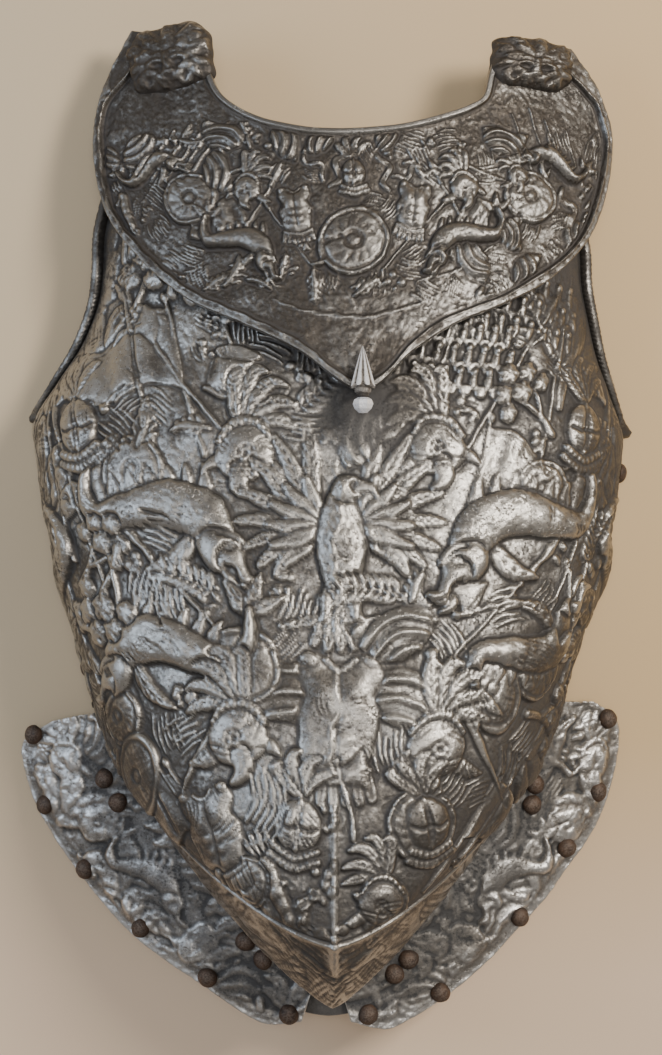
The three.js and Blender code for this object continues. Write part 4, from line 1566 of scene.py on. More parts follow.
@dataclass(frozen=True)
class RustFinish:
    """A rusty steel rivet head: brown crust with darker pits and a few worn grey spots.

    Attributes:
        name: Name of the material.
    """

    name: str

    def build(self) -> Material:
        """Makes the node material.

        Returns:
            The material.
        """
        maker = NodeMaker(self.name)
        blotch = maker.noise(170, 5, 0.6)
        crust = maker.noise(900, 5, 0.7)
        wear_and_highlight = maker.attribute("wear_and_highlight")
        base = maker.mix(maker.remap(blotch, 0.35, 0.65, 0, 1), (0.035, 0.023, 0.018), (0.1, 0.058, 0.037))
        base = maker.mix(maker.remap(crust, 0.55, 0.75, 0, 0.8), base, (0.17, 0.105, 0.07))
        steel = maker.math("MULTIPLY", wear_and_highlight, maker.remap(crust, 0.42, 0.6, 0, 1))
        base = maker.mix(maker.scale(steel, 0.55), base, (0.34, 0.29, 0.25))
        maker.link(base, maker.inputs["Base Color"])
        maker.link(maker.remap(steel, 0, 1, 0.35, 0.9), maker.inputs["Metallic"])
        maker.link(maker.remap(crust, 0.3, 0.7, 0.42, 0.78), maker.inputs["Roughness"])
        bumps = maker.math("ADD", crust, maker.scale(blotch, 0.8))
        maker.link(maker.bump(bumps, 0.7, 0.0005), maker.inputs["Normal"])
        return maker.material


class NodeMaker:
    """Adds and joins the shader nodes of a new material with few words."""

    def __init__(self, name: str) -> None:
        """Makes the material.

        Args:
            name: Its name.
        """
        self.material = bpy.data.materials.new(name)
        self.material.use_nodes = True
        self.tree = self.material.node_tree
        self.inputs = self.tree.nodes["Principled BSDF"].inputs
        self.place = self.add("ShaderNodeTexCoord", "Object", {})

    def link(self, source: Socket, target: Socket) -> None:
        """Joins two sockets."""
        self.tree.links.new(source, target)

    def add(self, kind: str, result: str | int, inputs: dict, **options: str) -> Socket:
        """Adds a node.

        Args:
            kind: Its type.
            result: Which output is wanted.
            inputs: A number, a colour or another node's output for each input.
            **options: Its settings.

        Returns:
            The wanted output.
        """
        node = self.tree.nodes.new(kind)
        for name, value in options.items():
            setattr(node, name, value)
        for label, value in inputs.items():
            if isinstance(value, Socket):
                self.link(value, node.inputs[label])
            else:
                node.inputs[label].default_value = (*value, 1) if isinstance(value, tuple) else value
        return node.outputs[result]

    def attribute(self, name: str) -> Socket:
        """A vertex attribute's value."""
        return self.add("ShaderNodeAttribute", "Fac", {}, attribute_name=name)

    def noise(self, scale: float, detail: float, rough: float) -> Socket:
        """Noise in object coordinates: its scale, its number of finer layers and their strength."""
        inputs = {"Vector": self.place, "Scale": scale, "Detail": detail, "Roughness": rough}
        return self.add("ShaderNodeTexNoise", "Fac", inputs)

    def math(self, kind: str, a: Socket, b: Socket | float) -> Socket:
        """Arithmetic on two values."""
        return self.add("ShaderNodeMath", 0, {0: a, 1: b}, operation=kind)

    def total(self, *values: Socket) -> Socket:
        """The sum of some values."""
        return reduce(lambda a, b: self.math("ADD", a, b), values)

    def scale(self, value: Socket, gain: float) -> Socket:
        """A value times a number."""
        return self.math("MULTIPLY", value, gain)

    def remap(self, value: Socket, a: float, b: float, c: float, d: float) -> Socket:
        """Spreads the range a to b of a value over c to d, and holds it there outside."""
        inputs = {"Value": value, "From Min": a, "From Max": b, "To Min": c, "To Max": d}
        return self.add("ShaderNodeMapRange", "Result", inputs)

    def mix(self, share: Socket, a: Socket | Color, b: Socket | Color) -> Socket:
        """A blend of two colours."""
        return self.add("ShaderNodeMix", 2, {0: share, 6: a, 7: b}, data_type="RGBA")

    def bump(self, height: Socket, strength: float, distance: float) -> Socket:
        """A bumped normal."""
        inputs = {"Strength": strength, "Distance": distance, "Height": height}
        return self.add("ShaderNodeBump", "Normal", inputs)


SILVER = CastFinish(
    "antiqued_silver",
    (0.408, 0.39, 0.362),
    (0.129, 0.124, 0.119),
    (0.053, 0.048, 0.045),
    0.08,
    (0.31, 0.56),
    0.6,
    0.94,
)
DARK = CastFinish(
    "antiqued_dark",
    (0.272, 0.26, 0.243),
    (0.096, 0.088, 0.081),
    (0.054, 0.047, 0.043),
    0.1,
    (0.34, 0.58),
    0.8,
    0.94,
)
GREY = CastFinish(
    "antiqued_grey",
    (0.61, 0.597, 0.578),
    (0.245, 0.238, 0.23),
    (0.048, 0.047, 0.048),
    0.04,
    (0.32, 0.58),
    0.8,
    0.94,
)
# Painted reflection: the stud gets a near-white colour with little metallic, standing in for the bright
# reflection on its steel.
PAINTED_GLINT_STEEL = CastFinish(
    "steel_painted_glint",
    (0.95, 0.96, 1),
    (0.42, 0.4, 0.38),
    (0.05, 0.042, 0.036),
    0,
    (0.3, 0.55),
    0.7,
    0.3,
)
RUST = RustFinish("rusty_steel")


# ---- breastplate


@dataclass
class Breastplate:
    """The main casting, as two halves that meet on the medial ridge.

    Attributes:
        across_steps: Grid columns on each half.
        row_spans: Section from, section to and rows of each stretch.
        canvas: The relief over its chart.
    """

    SINK: ClassVar[float] = 2
    BAND_STRENGTH: ClassVar[float] = 0.45
    SPLIT_ROW: ClassVar[float] = 9

    across_steps: int = 240
    row_spans: tuple[tuple[float, float, int], ...] = (
        (0, 3, 60), (3, 9, 210), (9, 14, 170), (14, 16, 66), (16, 18, 24)
    )
    canvas: ReliefCanvas = field(default_factory=lambda: ReliefCanvas((-300, -300), (300, 235), 0.6))

    def base_points(self, rows: Array, across: Array) -> Array:
        """The smooth outer face.

        Each row is an arc of the given power: a point at a share of its angle has the reach
        (cos ** p + sin ** p) ** (-1 / p), and the arc is scaled so that its ends lie on the edges.

        Args:
            rows: Fractional section numbers.
            across: Shares from -1 at the left edge to 1 at the right edge.

        Returns:
            Points, rows by columns by 3.
        """
        table = catmull_rom(BREAST_SECTIONS, rows, WAIST_ROW - 1)
        column = lambda kind: table[:, kind.value][:, None]
        power = column(SectionColumn.POWER)
        end = np.radians(np.minimum(column(SectionColumn.END_ANGLE), 89.999))

        def polar(angle: Array) -> tuple[Array, Array]:
            """Reach of the arc at an angle.

            Args:
                angle: Angle from the crown.

            Returns:
                The shares sideways and upwards.
            """
            c = np.maximum(np.cos(angle), 1e-12)
            s = np.maximum(np.sin(angle), 0)
            reach = (c**power + s**power) ** (-1 / power)
            return reach * s, reach * c

        stop_side, stop_crown = polar(end)
        side, crown = polar(end * np.abs(across)[None, :])
        side = side / stop_side
        crown = np.maximum((crown - stop_crown) / (1 - stop_crown), 0)
        left = (across < 0)[None, :]
        edge_x = np.where(left, column(SectionColumn.LEFT_X), column(SectionColumn.RIGHT_X))
        edge_y = np.where(left, column(SectionColumn.LEFT_Y), column(SectionColumn.RIGHT_Y))
        mid_x = column(SectionColumn.MID_X)
        x = mid_x + (edge_x - mid_x) * side
        y = edge_y + (column(SectionColumn.MID_Y) - edge_y) * crown
        edge_z = column(SectionColumn.EDGE_Z)
        z = edge_z + (column(SectionColumn.MID_Z) - edge_z) * crown**CROWN_POWER
        on_skirt = np.clip(rows - TIP_ROW, 0, 1)[:, None] ** 2
        z = z * (1 - on_skirt) + (skirt_z(x) - SEAT_GAP) * on_skirt
        return np.stack([x, y, z], -1)

    @staticmethod
    def chart(points: Array) -> tuple[Array, Array]:
        """Flat coordinates: the run across X and Z from the middle column, and Y.

        Args:
            points: Rows of points across the face.

        Returns:
            Chart x and y.
        """
        step = np.diff(points, axis=1)
        run = np.cumsum(np.hypot(step[..., 0], step[..., 2]), 1)
        run = np.concatenate([np.zeros((len(points), 1)), run], 1)
        middle = points.shape[1] // 2
        x = run - run[:, middle : middle + 1] + points[:, middle : middle + 1, 0]
        return x, points[..., 1]

    def chart_spot(self, section: float, across: float) -> tuple[float, float]:
        """Chart coordinates of one place on the face.

        Args:
            section: Fractional section number.
            across: Share across.

        Returns:
            Chart x and y.
        """
        shares = np.linspace(-1, 1, 401)
        x, y = self.chart(self.base_points(np.array([section]), shares))
        column = int(round((across + 1) * 200))
        return float(x[0, column]), float(y[0, column])

    def draw_relief(self) -> None:
        """Draws the trophies over the whole face, from the back layer to the front one."""
        canvas = self.canvas
        rng = np.random.default_rng(SEED)
        pen = TrophyPen(canvas, 0, 0, lift=0.45, strength=0.86)
        canvas.roll_ground(rng, 1.2)
        pen.draw_all(BREAST_BACK_LAYERS)
        for section, across, radius in BREAST_SHIELDS:
            pen.moved(*self.chart_spot(section, across)).round_shield(radius, 12 + int(radius) % 5)
        pen.draw_all(BREAST_FRONT_LAYERS)
        fill_gaps(
            canvas, lambda x, y: abs(x) < 290, rng,
            ((TrophyPen.spray, 24), (TrophyPen.drape, 18), (TrophyPen.hatch, 10), (TrophyPen.acanthus, 17),
            (TrophyPen.tree, 22), (TrophyPen.lumps, 9), (TrophyPen.laurel, 16), (TrophyPen.hatch, 10),
            (TrophyPen.axe, 18)), 4200
        )
        canvas.engrave(rng, 1300, 0.75)
        canvas.soften(0.6, 0.4)
        canvas.weather(rng, 0.08)

    def heights(self, rows: Array, across: Array, points: Array) -> Maps:
        """Relief height, recess and wear at every place of the grid, with painted shade and painted
        highlights laid into them.

        Args:
            rows: Fractional section numbers.
            across: Shares across.
            points: The base grid.

        Returns:
            The height in millimetres, and the recess and wear from 0 to 1.
        """
        x, y = self.chart(points)
        cast_x, cast_y = waver(x, y)
        cast_x, cast_y = (x + cast_x) / 2, (y + cast_y) / 2
        gains = ((0.62, 0.85), (3.4, 0.22)), ((0.6, 0.6), (2.4, 0.4))
        height, hollow_and_shade, wear_and_highlight = self.canvas.cast(cast_x, cast_y, (1.3, 6), *gains)
        # A calm zone below the stud flattens the relief; this zone and a bell round the knob's shadow point
        # get painted shadow of the stud.
        calm_and_stud_shadow = np.exp(-(((points[..., 0] - STUD_X) / 31) ** 4) - ((points[..., 1] - 66) / 24) ** 4)
        knob = np.hypot(points[..., 0] - STUD_X, points[..., 1] - STUD_SHADE_Y)
        # Painted shadow of the gorget's rim on the breast: a bell in the run below the rim line.
        rim = catmull_rom(GORGET_STATIONS, np.linspace(0, len(GORGET_STATIONS) - 1.001, 240))
        order = np.argsort(rim[:, 0])
        rim_y = np.interp(points[..., 0], rim[order, 0], rim[order, 1])
        painted_shadow = bell(np.maximum(rim_y - points[..., 1], 0), 11)
        # Painted light and shade on the upper right of the breast: its highs are made brighter and its
        # hollows darker.
        painted_contrast_upper_right = smoothstep(10, 50, points[..., 0]) * smoothstep(30, 70, points[..., 1])
        section = rows[:, None] + 0 * across[None, :]
        edge_run = self.edge_distance(points)
        above = 1 - smoothstep(CREASE_ROW - 0.3, CREASE_ROW - 0.08, section)
        below = smoothstep(CREASE_ROW + 0.1, CREASE_ROW + 0.3, section)
        below = below * (1 - smoothstep(TIP_ROW - 0.25, TIP_ROW - 0.05, section))
        on_face = above + self.BAND_STRENGTH * below
        arm = 1 - smoothstep(CORNER_ROW - 0.1, CORNER_ROW + 0.5, section)
        inside_arm = smoothstep(7, 34, edge_run)
        inside_hem = smoothstep(3, 9, edge_run)
        on_face = on_face * (arm * inside_arm + (1 - arm) * inside_hem)
        ground = 1 - smoothstep(-0.2, 2.4, height)
        flank = smoothstep(0.6, 0.92, np.abs(across))[None, :]
        height = (height - self.SINK) * on_face * (1 - 0.9 * calm_and_stud_shadow) * (1 - 0.45 * flank)
        # Painted shade on both flanks, more on the right side; the face is also darker from section 9 to
        # 12.5, less so on the band below the crease.
        side_shade_and_low_tone = 0.25 * smoothstep(0.4, 0.95, np.abs(across)) + 0.3 * smoothstep(0.25, 0.7, across)
        side_shade_and_low_tone = side_shade_and_low_tone[None, :] + 0.4 * smoothstep(9, 12.5, section) * (1 - 0.8 * below)
        hollow_and_shade = hollow_and_shade * (1 - 0.9 * calm_and_stud_shadow) * (1 + 0.3 * painted_contrast_upper_right) + (0.06 + 0.2 * painted_contrast_upper_right) * ground + side_shade_and_low_tone
        # Painted shadow of the stud: the calm zone and a bell round the knob are darkened.
        hollow_and_shade = hollow_and_shade * np.sqrt(on_face) + 0.5 * calm_and_stud_shadow + 0.5 * bell(knob, 15)
        # The painted shadow of the gorget rim is stronger to the right, darkest on the ground between motifs,
        # and dims the rubbed highs.
        painted_shadow = painted_shadow * (0.5 + 0.5 * smoothstep(-40, 40, points[..., 0]))
        hollow_and_shade = hollow_and_shade + painted_shadow * (0.16 + 0.5 * ground)
        # Painted light: the upper face is made lighter towards the left.
        hollow_and_shade = hollow_and_shade - 0.1 * smoothstep(-10, -60, points[..., 0]) * above
        wear_and_highlight = wear_and_highlight * on_face * (1 - 0.9 * calm_and_stud_shadow) * (1 - 0.5 * painted_shadow) * (1 + 0.3 * painted_contrast_upper_right)
        # A real groove runs along the arm opening; the darkening in it and the wider dark band further in are
        # painted shade of the arm flange.
        groove = arm * bell(edge_run - 4, 4.6)
        height = height - 1.4 * groove
        hollow_and_shade = hollow_and_shade + 0.8 * groove + 0.3 * arm * bell(edge_run - 12, 8)
        crease = bell((section - CREASE_ROW) * 28, 1.7) + 0.7 * bell((section - TIP_ROW + 0.12) * 28, 1.5)
        middle_run = x - points[:, points.shape[1] // 2, 0][:, None]
        ridge_fade = smoothstep(10.9, 11.6, section) * (1 - smoothstep(14.3, 15, section))
        ridge = ridge_fade * bell(middle_run, 1.9)
        nose = bell(middle_run, 4.5) * bell((section - CREASE_ROW) * 28 - 5, 9)
        chased = bell((section - CREASE_ROW + 0.09) * 28, 1.1)
        grit = self.canvas.sample(self.canvas.grit, x, y)
        seam = smoothstep(6, 6.6, section) * (1 - smoothstep(10.4, 11, section))
        wander = 2.5 * np.sin(y * 0.11) + 1.2 * np.sin(y * 0.29 + 1)
        seam = seam * bell(middle_run - wander, 1.2)
        bend = 2.2 * np.sin(0.13 * middle_run + 1.3) + 1.2 * np.sin(0.31 * middle_run)
        veins = 0.55 * np.abs(middle_run) + 26 * (section - CREASE_ROW) + bend
        veins = smoothstep(0.35, 1, np.sin(1.35 * veins)) * np.clip(0.7 + 3 * grit, 0, 1.2)
        veins = below * veins * smoothstep(52, 16, np.abs(middle_run))
        height = height + 1.2 * crease - 0.8 * chased + 2.4 * ridge + 0.7 * seam - 0.5 * veins
        hollow_and_shade = hollow_and_shade + 0.45 * veins + below * (0.9 * grit - 0.12)
        wear_and_highlight = wear_and_highlight * (1 - 0.4 * below) + 0.4 * crease + 1.3 * ridge + 0.3 * seam + 0.7 * nose
        wear_and_highlight = np.clip(wear_and_highlight, 0, 1.2)
        # Painted shade under the overhang: the face turned under beyond the tip row is darkened.
        under = smoothstep(TIP_ROW, TIP_ROW + 0.4, section)
        hollow_and_shade = hollow_and_shade * (1 - ridge) * (1 - 0.5 * crease) + 0.8 * under + 0.2 * below + 0.8 * chased
        hollow_and_shade = np.clip(hollow_and_shade, 0, 1.2)
        return height, hollow_and_shade, wear_and_highlight

    @staticmethod
    def edge_distance(points: Array) -> Array:
        """Run along each row to its nearer end.

        Args:
            points: Rows of points.

        Returns:
            The run at each point.
        """
        step = np.linalg.norm(np.diff(points, axis=1), axis=-1)
        run = np.concatenate([np.zeros((len(points), 1)), np.cumsum(step, 1)], 1)
        return np.minimum(run, run[:, -1:] - run)

    def build(self) -> list[Object]:
        """Makes the halves and the arm flanges.

        Returns:
            The pieces.
        """
        self.draw_relief()
        rows = np.concatenate(
            [np.linspace(a, b, n, endpoint=False) for a, b, n in self.row_spans] + [np.array([FLANGE_ROW])]
        )
        across = np.linspace(-1, 1, 2 * self.across_steps + 1)
        base = self.base_points(rows, across)
        up = upward(grid_normals(base))
        height, hollow_and_shade, wear_and_highlight = self.heights(rows, across, base)
        front = base + up * height[..., None]
        front = round_border(front, up, 0.8, WALL)
        normals = upward(grid_normals(front))
        hollow_and_shade = np.pad(hollow_and_shade, LIP_ROWS, constant_values=0.25)
        wear_and_highlight = np.pad(wear_and_highlight, LIP_ROWS, constant_values=0.3)
        middle = front.shape[1] // 2
        split = LIP_ROWS + sum(count for _, stop, count in self.row_spans if stop <= self.SPLIT_ROW)
        silver = SILVER.build()
        quarters = (
            ("breast_upper_left", slice(None, split + 1), slice(None, middle + 1)),
            ("breast_upper_right", slice(None, split + 1), slice(middle, None)),
            ("breast_lower_left", slice(split, None), slice(None, middle + 1)),
            ("breast_lower_right", slice(split, None), slice(middle, None))
        )
        pieces = []
        for name, down, over in quarters:
            part = (down, over)
            sheet = Sheet(front[part], normals[part], hollow_and_shade[part], wear_and_highlight[part])
            pieces.append(build_object(name, [sheet], silver))
        inner = self.inner_face()
        back = Sheet(inner, None, np.full(inner.shape[:2], 0.45), None, Facing.DOWN)
        pieces.append(build_object("breast_inner_face", [back], silver))
        for name, hand in (("arm_flange_left", -1), ("arm_flange_right", 1)):
            pieces.append(self.arm_flange(name, hand, silver))
        for piece in pieces:
            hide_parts("breastplate")
            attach(piece, "root")
        return pieces

    def inner_face(self) -> Array:
        """The hollow side: the base drawn in along its normals by the wall.

        Returns:
            Its grid.
        """
        rows = np.concatenate([np.linspace(0, 13.5, 64), np.linspace(13.75, 18, 26)])
        across = np.linspace(-1, 1, 61)
        base = self.base_points(rows, across)
        return base - upward(grid_normals(base)) * WALL

    def arm_flange(self, name: str, hand: int, material: Material) -> Object:
        """The raised flange of one arm opening.

        A rounded strip swept along the plate's edge: its loop is a superellipse, leaning outwards,
        and it ends below in a rounded nub.

        Args:
            name: Name of the piece.
            hand: -1 for the left side, 1 for the right.
            material: Its material.

        Returns:
            The piece.
        """
        count = 190
        rows = np.linspace(0, CORNER_ROW + 0.04, count)
        edge = self.base_points(rows, np.array([float(hand)]))[:, 0]
        angle = np.linspace(0, 2 * math.pi, 29)
        c, s = np.cos(angle), np.sin(angle)
        wide = 3.4 * np.sign(c) * np.abs(c) ** 0.7
        tall = 5.2 * np.sign(s) * np.abs(s) ** 0.8
        share = np.linspace(0, 1, count)
        nub = smoothstep(0.925, 0.975, share)
        end = np.sqrt(np.maximum(1 - (np.clip(share - 0.98, 0, 1) / 0.0201) ** 2, 0))
        swell = (1 + (1.5 if hand > 0 else 0.5) * nub) * end
        rough = 0.16 * np.sin(share[:, None] * 310 + 3 * angle)
        rough = rough + 0.12 * np.sin(share[:, None] * 171 - 2 * angle)
        wide = (wide[None, :] + rough) * swell[:, None]
        tall = tall[None, :] * (1 - 0.3 * nub[:, None]) * end[:, None]
        lean = np.array([0.45, 0.89])
        out = -0.6 + wide * lean[1] + tall * lean[0]
        up = 3.2 + tall * lean[1] - wide * lean[0]
        points = np.repeat(edge[:, None, :], len(angle), axis=1)
        points[..., 0] += hand * out
        points[..., 2] += up
        top = np.clip(s, 0, 1)[None, :] * np.ones((count, 1))
        patches = 0.5 + 0.5 * np.sin(share[:, None] * 43)
        wear_and_highlight = 0.28 * top * patches
        # Painted shade on the flange's inner, lower side, where it meets the plate.
        hollow_and_shade = 0.46 + 0.6 * (np.clip(-c, 0, 1) * np.clip(0.3 - s, 0, 1))[None, :] * np.ones((count, 1))
        return build_object(name, [Sheet(points, None, hollow_and_shade, wear_and_highlight, Facing.OUT)], material)


# ---- gorget


@dataclass
class Gorget:
    """The crescent neck plate with its rim, relief and lion masks.

    Attributes:
        along_steps: Grid columns from shoulder to shoulder.
        down_steps: Grid rows from neck edge to rim.
        canvas: The relief over its plan.
    """

    along_steps: int = 500
    down_steps: int = 176
    canvas: ReliefCanvas = field(default_factory=lambda: ReliefCanvas((-165, 70), (195, 330), 0.55))

    def plan(self, along: Array, down: Array) -> Maps:
        """Straight lines from the neck edge to the rim.

        Args:
            along: Shares from shoulder to shoulder.
            down: Shares from neck edge to rim.

        Returns:
            Plan x and y, and the run from the rim.
        """
        stations = catmull_rom(GORGET_STATIONS, along * (len(GORGET_STATIONS) - 1 - 1e-9))
        rim = stations[:, None, :2]
        neck = stations[:, None, 2:]
        points = neck + (rim - neck) * down[None, :, None]
        length = np.linalg.norm(rim - neck, axis=-1)
        return points[..., 0], points[..., 1], length * (1 - down[None, :])

    def draw_relief(self) -> None:
        """Draws trophies and foliage in the crescent field."""
        canvas = self.canvas
        rng = np.random.default_rng(SEED + 1)
        pen = TrophyPen(canvas, 0, 0, lift=0.4, strength=0.82)
        canvas.roll_ground(rng, 0.7)
        pen.draw_all(GORGET_BACK_LAYERS)
        for x, y, radius in GORGET_SHIELDS:
            TrophyPen(canvas, x, y, strength=0.85).round_shield(radius, 12)
        pen.draw_all(GORGET_FRONT_LAYERS)
        for x, y, degrees, length in THIN_SPEARS:
            lance = pen.moved(x, y, math.radians(degrees))
            lance.stroke([(0, 0), (0, length)], [0.6, 0.55], 1.1, moat=0.45)
        for line in (
            [(-36, 138), (-12, 131), (14, 127), (38, 130), (66, 142)],
            [(-58, 156), (-44, 149), (-30, 147)], [(52, 150), (78, 158), (100, 174)]
        ):
            ground = Pen(canvas, 0, 0, lift=0.1)
            ground.stroke(line, [0.4, 1.5, 1.2, 0.4], 0.9, twist(9, 0.4, 0.4), moat=0.3)
        fill_gaps(
            canvas, lambda x, y: 142 < y < 244, rng,
            ((TrophyPen.hatch, 7), (TrophyPen.acanthus, 10), (TrophyPen.lumps, 6), (TrophyPen.drape, 11),
            (TrophyPen.hatch, 7), (TrophyPen.ribbon, 10)), 1100, 0.55
        )
        canvas.engrave(rng, 500, 0.6, 0.6)
        canvas.soften(0.55, 0.4)
        canvas.weather(rng, 0.13)

    def heights(self, x: Array, y: Array, rim_run: Array, neck_run: Array) -> Maps:
        """Relief height, recess and wear over the plate's front.

        The rim is a flat rough band with a sharp inner edge, then a groove, each a bell or step in
        the run from the rim. The groove and the field just inside it get painted shade.

        Args:
            x: Plan x.
            y: Plan y.
            rim_run: Run from the outer rim.
            neck_run: Run from the neck edge.

        Returns:
            The height in millimetres, and the recess and wear from 0 to 1.
        """
        cast_x, cast_y = waver(x, y)
        cast_x, cast_y = (x + cast_x) / 2, (y + cast_y) / 2
        gains = ((0.6, 0.75), (2.6, 0.25)), ((0.6, 0.7), (1.8, 0.5))
        height, hollow_and_shade, wear_and_highlight = self.canvas.cast(cast_x, cast_y, (1.2, 5), *gains)
        grit = self.canvas.sample(self.canvas.grit, x, y)
        wide = 4.4 + 0.6 * np.sin(0.05 * x + 0.09 * y) + 0.35 * np.sin(0.31 * x - 0.2 * y)
        wide = wide - 0.9 * smoothstep(112, 96, y) + 9 * smoothstep(262, 290, y) ** 2
        on_field = smoothstep(wide + 1, wide + 4, rim_run) * smoothstep(3.6, 6.6, neck_run)
        ground = 1 - smoothstep(-0.2, 1.6, height)
        height = (height - 0.8) * on_field
        shoulder = smoothstep(226, 252, y)
        hollow_and_shade = (hollow_and_shade + 0.14 * ground + 0.05 * shoulder) * on_field
        wear_and_highlight = wear_and_highlight * on_field * (1 - 0.4 * shoulder)
        band = smoothstep(wide + 0.5, wide - 0.5, rim_run)
        edge = bell(rim_run - (wide - 0.7), 0.75)
        drop = bell(rim_run - (wide + 1.2), 1)
        neck = smoothstep(3.2, 2.2, neck_run)
        neck_line = bell(neck_run - 4.2, 0.9)
        height = height + band * (2.4 + 1.6 * grit) + 0.7 * edge - 0.7 * drop + 1.2 * neck - 0.5 * neck_line
        # Painted shade in the groove inside the rim band, and a softer painted shade a few millimetres
        # further in.
        hollow_and_shade = hollow_and_shade + 0.75 * drop + 0.5 * neck_line + band * (0.4 - 1.2 * grit)
        hollow_and_shade = hollow_and_shade + 0.3 * smoothstep(wide + 7, wide + 1, rim_run) * (1 - band)
        worn_tip = smoothstep(124, 100, y)
        wear_and_highlight = wear_and_highlight + 0.8 * edge + band * (0.5 * worn_tip + 1.5 * np.clip(grit, 0, 0.5))
        broad = smoothstep(45, 90, x) * bell(rim_run - 3, 4.2)
        wear_and_highlight = wear_and_highlight + (0.85 + 0.9 * grit) * bell(rim_run, 1.7) + (0.4 + 1.6 * grit) * broad + 0.55 * neck
        return height, np.clip(hollow_and_shade, 0, 1.2), np.clip(wear_and_highlight, 0, 1.2)

    def build(self) -> list[Object]:
        """Makes the plate and its masks.

        Returns:
            The pieces.
        """
        self.draw_relief()
        along = np.linspace(0, 1, self.along_steps)
        down = np.linspace(0, 1, self.down_steps)
        x, y, rim_run = self.plan(along, down)
        neck_run = rim_run[:, :1] - rim_run
        base = np.stack([x, y, gorget_z(x, y) + PLATE], -1)
        up = upward(grid_normals(base))
        height, hollow_and_shade, wear_and_highlight = self.heights(x, y, rim_run, neck_run)
        front = base + up * height[..., None]
        front = round_border(front, up, 0.9, PLATE + 1)
        hollow_and_shade = np.pad(hollow_and_shade, LIP_ROWS)
        wear_and_highlight = np.pad(wear_and_highlight, LIP_ROWS, constant_values=0.7)
        x, y, _ = self.plan(np.linspace(0, 1, 120), np.linspace(0, 1, 14))
        dark = DARK.build()
        sheets = [Sheet(front, None, hollow_and_shade, wear_and_highlight), plain_back(x, y, gorget_z(x, y))]
        pieces = [build_object("gorget_plate", sheets, dark)]
        for name, mask in zip(("lion_mask_left", "lion_mask_right"), LION_MASKS):
            pieces.append(LionMask(*mask).build(name, dark))
        for piece in pieces:
            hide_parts("gorget")
            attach(piece, "root")
        return pieces


